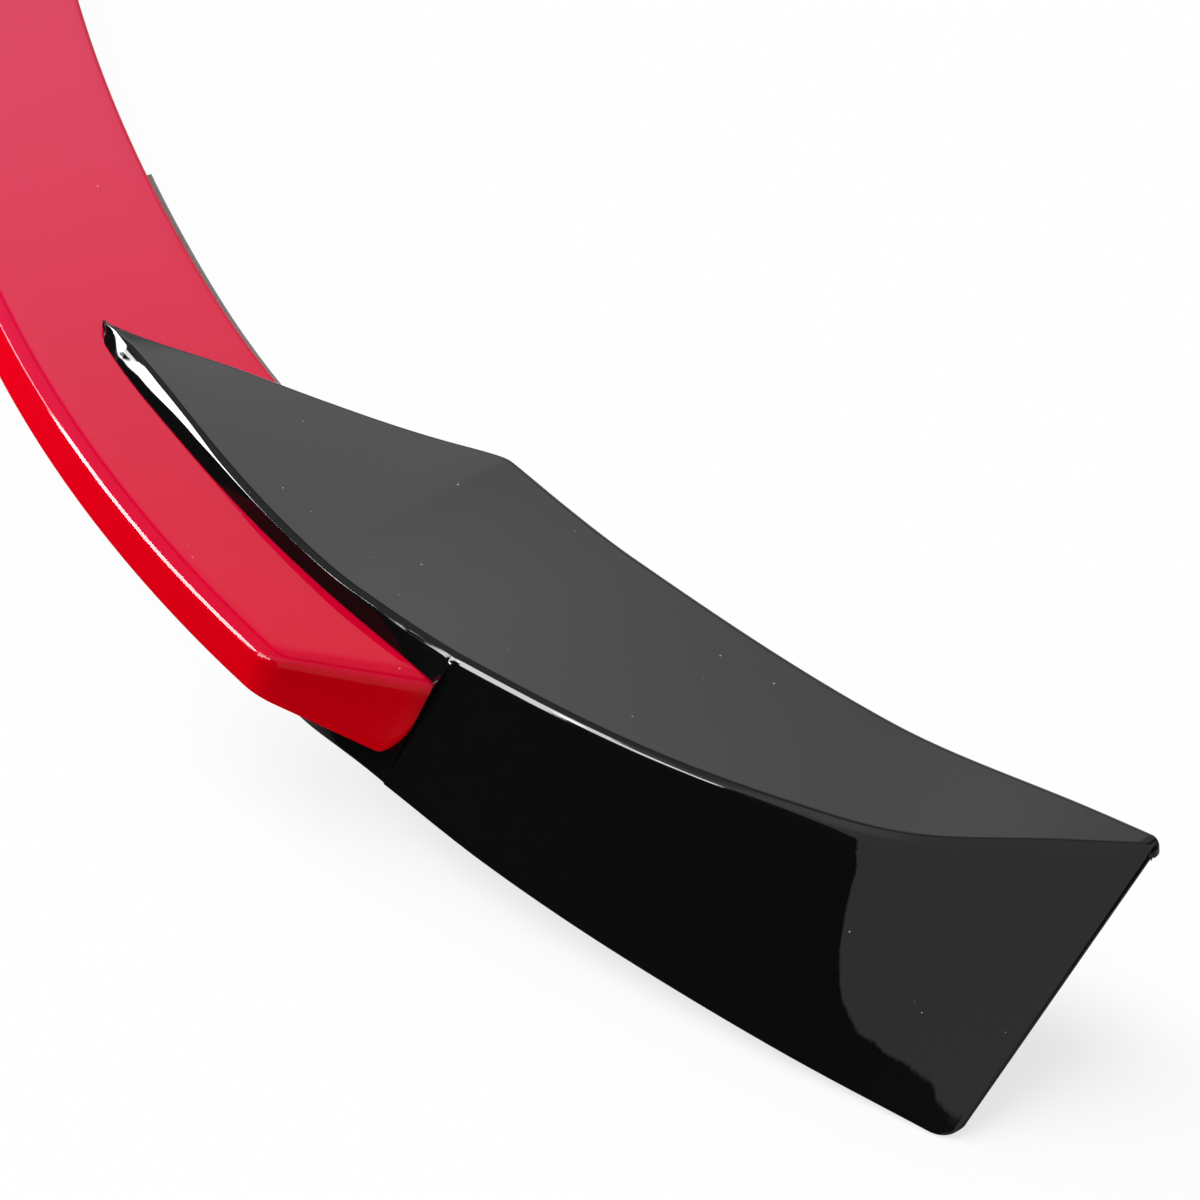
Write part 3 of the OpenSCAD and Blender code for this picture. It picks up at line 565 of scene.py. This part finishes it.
def winglet_section(s):
    """Lip, top, shoulder, rear face and the wall's inside, as a loop of (a, z)."""
    cut = corner_cut(s, OUTER_S, TIP_ROUND)
    drop = key_at(CREST_DROP, s)
    crest_top = crest_z(s) - drop
    foot = winglet_foot(s)
    crest = (crest_a(s) + cut - key_at(CREST_BACK, s) + DROP_AHEAD * drop, crest_top)
    crest = towards(crest, foot, cut)
    lip = (front_z(s) - lip_foot_z(s)) * lerp(1, OUTER_LIP, cut / TIP_ROUND)
    front = (front_a(s), front_z(s) - (crest_top - crest[1]))
    lip_foot = (front[0], front[1] - lip)
    top_len = math.dist(front, crest)
    wall = min(WINGLET_WALL, WALL_SHARE * top_len)

    scale = min(1, top_len / FULL_TOP)
    shoulder = towards(crest, front, scale * key_at(SHOULDER_AHEAD, s))
    tilt = math.radians(key_at(SHOULDER_TILT, s))
    width = scale * key_at(SHOULDER_WIDTH, s)
    edge = (shoulder[0] - width * math.cos(tilt), shoulder[1] - width * math.sin(tilt))
    on_blade = s < BLADE_END
    if on_blade:
        foot = (foot[0] - corner_cut(s, BLADE_END, LAP_CORNER_ROUND), foot[1])
    inner_foot = (foot[0] + wall * FOOT_WALL, foot[1])
    inner_front = (front[0] - wall, front[1] - wall)

    rear_round = scale * key_at(REAR_ROUND, s)
    rear_share = lerp(LAP_REAR_SHARE, FREE_REAR_SHARE,
                      ease((s - BLADE_END + REAR_SHARE_FADE) / REAR_SHARE_FADE))
    foot_round = LAP_FOOT_ROUND if on_blade else FOOT_ROUND
    lip_arc = rounded(lip_foot, front, shoulder, min(FRONT_ROUND, LIP_SHARE * lip),
                      min(FRONT_ROUND, TOP_SHARE * top_len), 6)
    upper_arc = rounded(front, shoulder, edge, SHOULDER_ROUND, SHOULDER_ROUND, 5)
    lower_arc = rounded(shoulder, edge, foot, rear_round, rear_round, 16, rear_share)
    foot_arc = rounded(edge, foot, inner_foot, foot_round, min(foot_round, FOOT_SHARE * wall), 8)
    inner_edge = offset_corner(foot, edge, shoulder, wall + INNER_ROUND * rear_round)
    loop = ([lip_foot] + lip_arc + held_flat(lip_arc[-1], upper_arc[0], 12)
            + upper_arc + held_flat(upper_arc[-1], lower_arc[0], 1)
            + lower_arc + held_flat(lower_arc[-1], foot_arc[0], 12)
            + foot_arc + [inner_foot] + rounded(inner_foot, inner_edge, inner_front, rear_round, rear_round, 8)
            + [offset_corner(edge, shoulder, front, wall), inner_front, (inner_front[0], lip_foot[1])])
    inset = corner_cut(s, OUTER_S, EDGE_ROUND)
    return shrunk(loop, inset) if inset else loop


def make_winglet(name, mirrored):
    return lofted(name, WINGLET_STATIONS, winglet_section, mirrored, lean)


# ---- Winglet liners ----

LINER_START, LINER_END = lerp(TIP_S, BLADE_END, 0.36), free_at(0.86)
LINER_STATIONS = [s for s in WINGLET_STATIONS if LINER_START < s < LINER_END]


def face_lean(s):
    foot = winglet_foot(s)
    return (crest_a(s) - foot[0]) / (crest_z(s) - foot[1])


def liner_rear(s):
    if s < BLADE_END:
        return (lead_a(s) + LINER_SET, lip_foot_z(s) + GAP)
    run = WINGLET_WALL * math.sqrt(1 + face_lean(s) ** 2)
    foot = skirt_foot(s)
    return (foot[0] + run + face_lean(s) * LINER_LIFT + GAP, foot[1] + LINER_LIFT)


def liner_front(s):
    return (front_a(s) - WINGLET_WALL - 2 * GAP, lip_foot_z(s) + LINER_LIFT)


def liner_section(s):
    rear, front = liner_rear(s), liner_front(s)
    back = 0 if s < BLADE_END else face_lean(s) + LINER_BEVEL
    return [front, (front[0], front[1] + LINER_WALL),
            (rear[0] + LINER_WALL * back, rear[1] + LINER_WALL), rear]


def make_liner(name, mirrored):
    return lofted(name, LINER_STATIONS, liner_section, mirrored, lean)


# ---- Bonding tapes ----


def strip(name, stations, rear, front, mirrored=False):
    """A flat strip whose upper side runs from rear(s) to front(s), each (a, z)."""
    loops = []
    for s in stations:
        r, f = rear(abs(s)), front(abs(s))
        section = [f, r, (r[0], r[1] - TAPE_T), (f[0], f[1] - TAPE_T)]
        loops.append([place(s, a, z) for a, z in section])
    return loft(name, loops, mirrored)


def lead_strip(name, stations, show, mirrored=False):
    low = LEAD_Z - LEAD_LIP

    def rear(s):
        a = lead_a(s) + show - TAPE_W
        return (a, min(low, floor_z(s, a)) - GAP)

    return strip(name, stations, rear, lambda s: (lead_a(s) + show, low - GAP), mirrored)


def plinth_strip(name):
    stations = [s for s in both_sides(BLADE_HALF) if abs(s) < RIDGE_LEN]

    def at(s, extra):
        a = plinth_a(s) + PLINTH_TAPE_INSET + extra
        return (a, floor_z(s, a) - GAP)

    return strip(name, stations, lambda s: at(s, 0), lambda s: at(s, TAPE_W))


def liner_line(s, a):
    """The place just below the liner's underside at a."""
    r, f = liner_rear(s), liner_front(s)
    return (a, lerp(r[1], f[1], (a - r[0]) / (f[0] - r[0])) - GAP)


def winglet_front_strip(name, mirrored):
    stations = [s for s in LINER_STATIONS if front_a(s) - lead_a(s) > 3 * TAPE_W]
    return strip(name, stations,
                 lambda s: liner_line(s, liner_front(s)[0] - FRONT_TAPE_INSET - TAPE_W),
                 lambda s: liner_line(s, liner_front(s)[0] - FRONT_TAPE_INSET), mirrored)


def winglet_rear_strip(name, mirrored):
    stations = [s for s in LINER_STATIONS if s > BLADE_END]
    return strip(name, stations,
                 lambda s: liner_line(s, liner_rear(s)[0] + REAR_TAPE_INSET),
                 lambda s: liner_line(s, liner_rear(s)[0] + REAR_TAPE_INSET + TAPE_W), mirrored)


# ---- Materials ----


class Nodes:
    """Short forms for building a node tree."""

    def __init__(self, tree):
        self.tree = tree
        tree.nodes.clear()

    def add(self, kind, **values):
        node = self.tree.nodes.new(kind)
        for key, value in values.items():
            setattr(node, key, value)
        return node

    def link(self, source, target):
        self.tree.links.new(source, target)

    def math(self, operation, a, b=None):
        node = self.add("ShaderNodeMath", operation=operation)
        for socket, value in zip(node.inputs, (a, b)):
            if value is None:
                continue
            if isinstance(value, (int, float)):
                socket.default_value = value
            else:
                self.link(value, socket)
        return node.outputs[0]

    def chain(self, operation, first, *others):
        """The operation over all the values, from left to right."""
        for other in others:
            first = self.math(operation, first, other)
        return first

    def inverse(self, value):
        return self.math("SUBTRACT", 1.0, value)

    def scaled(self, value, factor, offset):
        result = self.math("MULTIPLY_ADD", value, factor)
        result.node.inputs[2].default_value = offset
        return result

    def axes(self, vector):
        node = self.add("ShaderNodeSeparateXYZ")
        self.link(vector, node.inputs[0])
        return [node.outputs[axis] for axis in "XYZ"]

    def smooth_step(self, value, low, high):
        """0 below low, 1 above high, and a smooth ramp between."""
        node = self.add("ShaderNodeMapRange", interpolation_type="SMOOTHSTEP")
        self.link(value, node.inputs["Value"])
        node.inputs["From Min"].default_value = low
        node.inputs["From Max"].default_value = high
        return node.outputs["Result"]

    def noise(self, vector, scale, detail):
        node = self.add("ShaderNodeTexNoise")
        node.inputs["Scale"].default_value = scale
        node.inputs["Detail"].default_value = detail
        self.link(vector, node.inputs["Vector"])
        return node.outputs["Fac"]

    def mix_colour(self, fac, a, b):
        node = self.add("ShaderNodeMix", data_type="RGBA")
        self.link(fac, node.inputs["Factor"])
        for name, value in (("A", a), ("B", b)):
            socket = [i for i in node.inputs if i.name == name and i.type == "RGBA"][0]
            if isinstance(value, tuple):
                socket.default_value = value
            else:
                self.link(value, socket)
        return [o for o in node.outputs if o.type == "RGBA"][0]

    def mix_shader(self, fac, first, second):
        node = self.add("ShaderNodeMixShader")
        for socket, source in zip(node.inputs, (fac, first, second)):
            self.link(source, socket)
        return node.outputs[0]

    def emission(self, colour):
        node = self.add("ShaderNodeEmission")
        node.inputs["Color"].default_value = colour
        return node.outputs[0]

    def background(self, strength=None):
        """White light of that strength, or of strength 1."""
        node = self.add("ShaderNodeBackground")
        node.inputs["Color"].default_value = rgb(1, 1, 1)
        if strength:
            self.link(strength, node.inputs["Strength"])
        return node.outputs[0]


def rgb(r, g, b):
    return (r, g, b, 1.0)


def new_material(name):
    material = bpy.data.materials.new(name)
    material.use_nodes = True
    nodes = Nodes(material.node_tree)
    output = nodes.add("ShaderNodeOutputMaterial")
    shader = nodes.add("ShaderNodeBsdfPrincipled")
    nodes.link(shader.outputs[0], output.inputs["Surface"])
    coordinates = nodes.add("ShaderNodeTexCoord").outputs["Object"]
    return material, nodes, shader, coordinates


def bump(nodes, height, distance):
    node = nodes.add("ShaderNodeBump")
    node.inputs["Distance"].default_value = distance
    nodes.link(height, node.inputs["Height"])
    return node.outputs["Normal"]


def dust(nodes, coordinates, scale, size, share):
    """1 on a few tiny specks of uneven size, 0 elsewhere."""
    cells = nodes.add("ShaderNodeTexVoronoi", feature="F1")
    cells.inputs["Scale"].default_value = scale
    nodes.link(coordinates, cells.inputs["Vector"])
    pick = nodes.add("ShaderNodeSeparateColor")
    nodes.link(cells.outputs["Color"], pick.inputs[0])
    rarity, own_size = pick.outputs[0], pick.outputs[1]
    near = nodes.math("LESS_THAN", cells.outputs["Distance"], nodes.math("MULTIPLY", own_size, size))
    rare = nodes.math("LESS_THAN", rarity, share)
    return nodes.math("MULTIPLY", near, rare)


def facing_up(nodes, low, high):
    """0 on steep surfaces and 1 on level ones."""
    return nodes.smooth_step(nodes.axes(nodes.add("ShaderNodeNewGeometry").outputs["Normal"])[2], low, high)


# Paint: where its colour shifts to the ends' painted shading (distance from the centre plane, metres), where it
# counts as level for its painted-sheen colour and for its coat, and the share of the coat on steep surfaces.
# Specks are (scale, size, share of cells).
END_SHADING_BAND = (0.05, 0.5)
PAINTED_SHEEN_BAND, LEVEL_COAT, STEEP_COAT = (0.75, 0.95), (0.45, 0.65), 0.3
MOTTLE_SCALE, MOTTLE = 9, 0.15
SPECKS = ((90, 0.05, 0.25), (260, 0.11, 0.04))
HAZE_SCALE, HAZE_SPREAD, HAZE = 14, 0.1, 0.3
COAT_IOR, COAT_ROUGHNESS = 1.5, 0.02
PEEL_FINE, PEEL_COARSE, PEEL_COARSE_WEIGHT, PEEL_HEIGHT = 420, 60, 2.5, 0.000004


def painted(name, steep, level, coat, dust_colour):
    """Paint under clear coat, with orange peel and dust. Level surfaces take a paler, hazier colour that is a
    painted sheen, and the colour changes towards the ends as painted shading.

    steep, level and coat each hold a value for the middle and one for the ends; the level colours carry the
    painted sheen, and the ends' colours the painted shading.
    """
    material, nodes, shader, coordinates = new_material(name)
    outwards = nodes.smooth_step(nodes.math("ABSOLUTE", nodes.axes(coordinates)[0]), *END_SHADING_BAND)
    mottle = nodes.math("SUBTRACT", nodes.noise(coordinates, MOTTLE_SCALE, 3), 0.5)
    # How far the painted shading towards the ends has come in, plus a random mottle in the paint's own tone
    end_shading_and_mottle = nodes.math("ADD", outwards, nodes.math("MULTIPLY", mottle, MOTTLE))
    # Level surfaces get the level colour, which is a painted sheen
    colour = nodes.mix_colour(facing_up(nodes, *PAINTED_SHEEN_BAND), nodes.mix_colour(end_shading_and_mottle, *steep),
                              nodes.mix_colour(end_shading_and_mottle, *level))
    specks = nodes.chain("MAXIMUM", *(dust(nodes, coordinates, *row) for row in SPECKS))
    nodes.link(nodes.mix_colour(specks, colour, dust_colour), shader.inputs["Base Color"])
    haze = nodes.scaled(nodes.noise(coordinates, HAZE_SCALE, 4), HAZE_SPREAD, HAZE)
    nodes.link(haze, shader.inputs["Roughness"])
    shader.inputs["Specular IOR Level"].default_value = 0.0
    fading = nodes.scaled(outwards, coat[1] - coat[0], coat[0])
    steepness = nodes.scaled(facing_up(nodes, *LEVEL_COAT), 1 - STEEP_COAT, STEEP_COAT)
    nodes.link(nodes.math("MULTIPLY", fading, steepness), shader.inputs["Coat Weight"])
    shader.inputs["Coat IOR"].default_value = COAT_IOR
    shader.inputs["Coat Roughness"].default_value = COAT_ROUGHNESS
    coarse = nodes.math("MULTIPLY", nodes.noise(coordinates, PEEL_COARSE, 1), PEEL_COARSE_WEIGHT)
    peel = nodes.math("ADD", nodes.noise(coordinates, PEEL_FINE, 1), coarse)
    nodes.link(bump(nodes, peel, PEEL_HEIGHT), shader.inputs["Coat Normal"])
    return material


ROUGHNESS_SPREAD = 0.15


def plain(name, colour, shade, scale, roughness, bump_scale, bump_height, metallic=0.0):
    """A solid material with colour variation, uneven roughness and a fine surface texture."""
    material, nodes, shader, coordinates = new_material(name)
    nodes.link(nodes.mix_colour(nodes.noise(coordinates, scale, 4), colour, shade), shader.inputs["Base Color"])
    rough = nodes.scaled(nodes.noise(coordinates, 2 * scale, 3), ROUGHNESS_SPREAD, roughness)
    nodes.link(rough, shader.inputs["Roughness"])
    shader.inputs["Metallic"].default_value = metallic
    nodes.link(bump(nodes, nodes.noise(coordinates, bump_scale, 3), bump_height), shader.inputs["Normal"])
    return material


# Colours are (middle, ends). The level colours hold a painted sheen: paler and pinker on the red, lighter on
# the black. The ends' colours hold painted shading: darker on the red, a touch lighter on the black.
RED = painted("red_paint", (rgb(0.80, 0.0, 0.012), rgb(0.64, 0.0, 0.006)),
              (rgb(0.72, 0.006, 0.068), rgb(0.68, 0.0, 0.026)), (0.65, 0.42), rgb(0.8, 0.2, 0.22))
BLACK = painted("black_gloss", (rgb(0.0025, 0.0025, 0.0027), rgb(0.0035, 0.0035, 0.0037)),
                (rgb(0.0035, 0.0035, 0.0037), rgb(0.005, 0.005, 0.0052)), (1.0, 1.0), rgb(0.35, 0.35, 0.35))
TEXTURED = plain("black_textured", rgb(0.02, 0.02, 0.021), rgb(0.035, 0.035, 0.036), 60, 0.5, 900, 0.0003)
MOULDING = plain("black_moulding", rgb(0.022, 0.022, 0.023), rgb(0.035, 0.035, 0.036), 120, 0.38, 1500, 0.00006)
ALUMINIUM = plain("aluminium", rgb(0.7, 0.71, 0.72), rgb(0.6, 0.61, 0.63), 40, 0.3, 600, 0.00005, 1.0)
BRASS = plain("brass", rgb(0.74, 0.55, 0.24), rgb(0.6, 0.42, 0.17), 200, 0.25, 2500, 0.00003, 1.0)
STEEL = plain("zinc_steel", rgb(0.6, 0.61, 0.63), rgb(0.48, 0.49, 0.52), 200, 0.28, 2500, 0.00003, 1.0)
FOAM = plain("foam_rubber", rgb(0.03, 0.03, 0.03), rgb(0.06, 0.06, 0.06), 300, 0.8, 2200, 0.0003)
NYLON = plain("nylon", rgb(0.55, 0.54, 0.5), rgb(0.47, 0.46, 0.42), 150, 0.45, 1500, 0.00005)
TAPE = plain("bonding_tape", rgb(0.2, 0.2, 0.205), rgb(0.28, 0.28, 0.29), 250, 0.6, 1800, 0.00015)

# ---- The pieces, each in place of its CAD node ----


def add_piece(piece, node, material):
    """The piece rides on the one body and stands for its CAD node."""
    piece.data.materials.clear()
    piece.data.materials.append(material)
    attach(piece, "root")
    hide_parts(node)


add_piece(make_blade(), "blade_skin", RED)
add_piece(make_base(), "base_panel", BLACK)
LEAD_STATIONS = [s for s in BLADE_HALF if TAPE_SPLIT < s < RIDGE_LEN]
CENTRE_STATIONS = [s for s in both_sides(BLADE_HALF) if abs(s) < TAPE_SPLIT - TAPE_GAP]
for side, mirrored in (("right", False), ("left", True)):
    add_piece(make_winglet(f"winglet_{side}", mirrored), f"winglet_skin_{side}", BLACK)
    add_piece(make_liner(f"liner_{side}", mirrored), f"winglet_liner_{side}", TEXTURED)
    for tape, node_name in (
            (lead_strip(f"lead_tape_{side}", LEAD_STATIONS, TAPE_SHOW, mirrored), f"tape_lead_{side}"),
            (winglet_front_strip(f"front_tape_{side}", mirrored), f"tape_winglet_front_{side}"),
            (winglet_rear_strip(f"rear_tape_{side}", mirrored), f"tape_winglet_rear_{side}")):
        add_piece(tape, node_name, TAPE)
add_piece(lead_strip("lead_tape_centre", CENTRE_STATIONS, CENTRE_TAPE_SHOW), "tape_lead_centre", TAPE)
add_piece(plinth_strip("plinth_tape"), "tape_plinth", TAPE)

# ---- CAD pieces that keep their shape ----

# The start of the nodes' names, and their material
KEPT = (("stiffening_channel", ALUMINIUM), ("mount_block", MOULDING), ("threaded_inserts", BRASS),
        ("mount_gaskets", FOAM), ("winglet_screws", STEEL), ("locating_pins", NYLON))
for node_name, node_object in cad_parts.items():
    for start, material in KEPT:
        if node_name.startswith(start):
            node_object.data.materials.clear()
            node_object.data.materials.append(material)

# ---- Floor, surroundings and lamps ----

FLOOR_SIDE = 12.0
FLOOR_COLOURS = (rgb(0.93, 0.93, 0.935), rgb(0.95, 0.95, 0.955))
FLOOR_ROUGHNESS, FLOOR_SHEEN = 0.6, 0.2
# In reflections the floor is white inside this circle only, and dark beyond it
SHEET_CENTRE_Y, SHEET_RADIUS, SHEET_FADE = 0.75, 0.955, 0.05
FLOOR_DARK = rgb(0.02, 0.02, 0.02)
# To the camera it is whitened: less along the part's rear edge, a circle, where its shadow shows, and most
# ahead of the part, beside the centre plane and further off
SHADOW_RADIUS, SHADOW_BAND = 0.93, (0.03, 0.08)
CLEAR_AHEAD, CLEAR_MIDDLE = (0.3, 0.5), (0.4, 0.52)
FLOOR_WHITE, WHITENING, WHITENING_MORE = rgb(0.995, 0.995, 1.0), 0.73, 0.24


def floor_material():
    material, nodes, shader, coordinates = new_material("floor_white")
    nodes.link(nodes.mix_colour(nodes.noise(coordinates, 1.5, 2), *FLOOR_COLOURS), shader.inputs["Base Color"])
    shader.inputs["Roughness"].default_value = FLOOR_ROUGHNESS
    shader.inputs["Specular IOR Level"].default_value = FLOOR_SHEEN

    ray = nodes.add("ShaderNodeLightPath")
    distance = nodes.add("ShaderNodeVectorMath", operation="DISTANCE")
    nodes.link(coordinates, distance.inputs[0])
    distance.inputs[1].default_value = (0.0, SHEET_CENTRE_Y, 0.0)
    radius = distance.outputs["Value"]
    far = nodes.smooth_step(radius, SHEET_RADIUS, SHEET_RADIUS + SHEET_FADE)
    reflected = nodes.mix_shader(nodes.math("MULTIPLY", ray.outputs["Is Glossy Ray"], far),
                                 shader.outputs[0], nodes.emission(FLOOR_DARK))

    x, y, _ = nodes.axes(coordinates)
    away = nodes.math("ABSOLUTE", nodes.math("SUBTRACT", radius, SHADOW_RADIUS))
    middle = nodes.inverse(nodes.smooth_step(nodes.math("ABSOLUTE", x), *CLEAR_MIDDLE))
    clear = nodes.chain("MAXIMUM", nodes.smooth_step(away, *SHADOW_BAND), nodes.smooth_step(y, *CLEAR_AHEAD),
                        middle)
    whitening = nodes.scaled(clear, WHITENING_MORE, WHITENING)
    seen = nodes.mix_shader(nodes.math("MULTIPLY", ray.outputs["Is Camera Ray"], whitening),
                            reflected, nodes.emission(FLOOR_WHITE))
    nodes.link(seen, nodes.tree.get_output_node("ALL").inputs["Surface"])
    return material


def add_floor():
    half = FLOOR_SIDE / 2
    corners = [Vector((x, y, 0)) for x, y in ((-half, -half), (half, -half), (half, half), (-half, half))]
    floor = finish_mesh("floor", corners, [(0, 1, 2, 3)])
    floor.data.materials.append(floor_material())


# The studio in reflections, by direction from the part: x to the right end, y ahead, z up. Each pair is the
# band in which that edge fades in or out.
SCREEN_AXIS, SCREEN_EDGE, SCREEN_SIDE = (-0.82, 0.12, 0.56), (0.72, 0.8), (0.02, 0.1)
SCREEN_GLOW = {"From Min": 0.94, "From Max": 0.998, "To Min": 0.55, "To Max": 1.6}
WALL_LEVEL, WALL_REAR, WALL_FRONT = 0.4, (-0.75, -0.35), (-0.04, 0.0)
WALL_RIGHT, WALL_FOOT = (-0.1, 0.2), (0.2, 0.4)
CEILING_LEVEL, CEILING_REAR, CEILING_FOOT, CEILING_SIDE = 0.6, (-0.375, -0.36), (0.42, 0.6), (0.6, 0.7)
CEILING_SLOPE_FROM, CEILING_SLOPE = 0.33, 0.6
CEILING_WAVES_SCALE, CEILING_WAVES = 9, 0.05
ROOM_LEVEL = 0.02
# Strips of light: from and to which direction, half their width, how ragged they are, and their level
LAMPS = (((-0.84, -0.50, 0.30), (-0.52, -0.62, 0.57), 0.05, 0.03, 15.0),
         ((-0.54, -0.62, 0.56), (-0.28, -0.68, 0.68), 0.15, 0.06, 38.0),
         ((-0.22, -0.62, 0.75), (-0.03, -0.56, 0.83), 0.19, 0.12, 15.0),
         ((-0.05, -0.57, 0.83), (0.11, -0.46, 0.88), 0.08, 0.04, 15.0))
LAMP_SOFT, LAMP_NOISE_SCALE = 0.015, 22
# The light that falls on the part
KEY_AXIS, KEY_EDGE = (-0.62, -0.48, 0.62), (0.6, 0.97)
DOME_LEVEL, KEY_LEVEL = 0.3, 3.2


def dot_with(nodes, direction, axis):
    node = nodes.add("ShaderNodeVectorMath", operation="DOT_PRODUCT")
    nodes.link(direction, node.inputs[0])
    node.inputs[1].default_value = Vector(axis).normalized()
    return node.outputs["Value"]


def strip_light(nodes, direction, start, end, half_width, ragged):
    """1 inside a soft-edged strip of the surroundings that runs from one direction to another."""
    first, last = Vector(start).normalized(), Vector(end).normalized()
    centre = (first + last).normalized()
    along = (last - first).normalized()
    across = centre.cross(along)
    half_length = (last - first).length / 2
    noise = nodes.noise(direction, LAMP_NOISE_SCALE, 3)
    uneven = nodes.math("MULTIPLY", nodes.math("SUBTRACT", noise, 0.5), ragged)
    inside = nodes.math("GREATER_THAN", dot_with(nodes, direction, centre), 0.0)
    for axis, half in ((along, half_length), (across, half_width)):
        away = nodes.math("ADD", nodes.math("ABSOLUTE", dot_with(nodes, direction, axis)), uneven)
        window = nodes.inverse(nodes.smooth_step(away, half - LAMP_SOFT, half + LAMP_SOFT))
        inside = nodes.math("MULTIPLY", inside, window)
    return inside


def studio_level(nodes, direction):
    """What the paint reflects: a bright screen on the left, a grey wall and ceiling, and strips of light."""
    x, y, z = nodes.axes(direction)
    screen_dot = dot_with(nodes, direction, SCREEN_AXIS)
    glow = nodes.add("ShaderNodeMapRange")
    nodes.link(screen_dot, glow.inputs["Value"])
    for name, value in SCREEN_GLOW.items():
        glow.inputs[name].default_value = value
    screen = nodes.chain("MULTIPLY", nodes.smooth_step(screen_dot, *SCREEN_EDGE), glow.outputs["Result"],
                         nodes.smooth_step(y, *SCREEN_SIDE))

    # Past a dark gap, a grey wall on the rear side of the screen
    wall = nodes.chain("MULTIPLY", nodes.smooth_step(y, *WALL_REAR),
                       nodes.inverse(nodes.smooth_step(y, *WALL_FRONT)),
                       nodes.inverse(nodes.smooth_step(x, *WALL_RIGHT)),
                       nodes.smooth_step(z, *WALL_FOOT), WALL_LEVEL)

    # The ceiling ends in an uneven line on the rear side, and low down
    slope = nodes.math("MAXIMUM", nodes.math("SUBTRACT", x, CEILING_SLOPE_FROM), 0.0)
    waves = nodes.math("MULTIPLY", nodes.noise(direction, CEILING_WAVES_SCALE, 2), CEILING_WAVES)
    rear = nodes.chain("ADD", y, nodes.math("MULTIPLY", slope, CEILING_SLOPE), waves)
    ceiling = nodes.chain("MULTIPLY", nodes.smooth_step(rear, *CEILING_REAR),
                          nodes.smooth_step(z, *CEILING_FOOT),
                          nodes.inverse(nodes.smooth_step(screen_dot, *CEILING_SIDE)), CEILING_LEVEL)

    lamps = [nodes.math("MULTIPLY", strip_light(nodes, direction, *shape), lamp_level)
             for *shape, lamp_level in LAMPS]
    return nodes.chain("ADD", screen, wall, ceiling, ROOM_LEVEL, *lamps)


def daylight_level(nodes, direction):
    """What lights the part: an even dome, and a wide soft lamp behind it on the left."""
    key = nodes.smooth_step(dot_with(nodes, direction, KEY_AXIS), *KEY_EDGE)
    return nodes.scaled(key, KEY_LEVEL, DOME_LEVEL)


def add_surroundings():
    """The studio round the part. The camera sees white, reflections the studio, and all else soft light."""
    world = bpy.data.worlds.new("studio")
    bpy.context.scene.world = world
    world.use_nodes = True
    nodes = Nodes(world.node_tree)
    output = nodes.add("ShaderNodeOutputWorld")
    direction = nodes.add("ShaderNodeTexCoord").outputs["Generated"]
    ray = nodes.add("ShaderNodeLightPath")
    daylight = nodes.background(daylight_level(nodes, direction))
    studio = nodes.background(studio_level(nodes, direction))
    lit = nodes.mix_shader(ray.outputs["Is Glossy Ray"], daylight, studio)
    seen = nodes.mix_shader(ray.outputs["Is Camera Ray"], lit, nodes.background())
    nodes.link(seen, output.inputs["Surface"])


bpy.context.scene.view_settings.view_transform = "Standard"
add_floor()
add_surroundings()
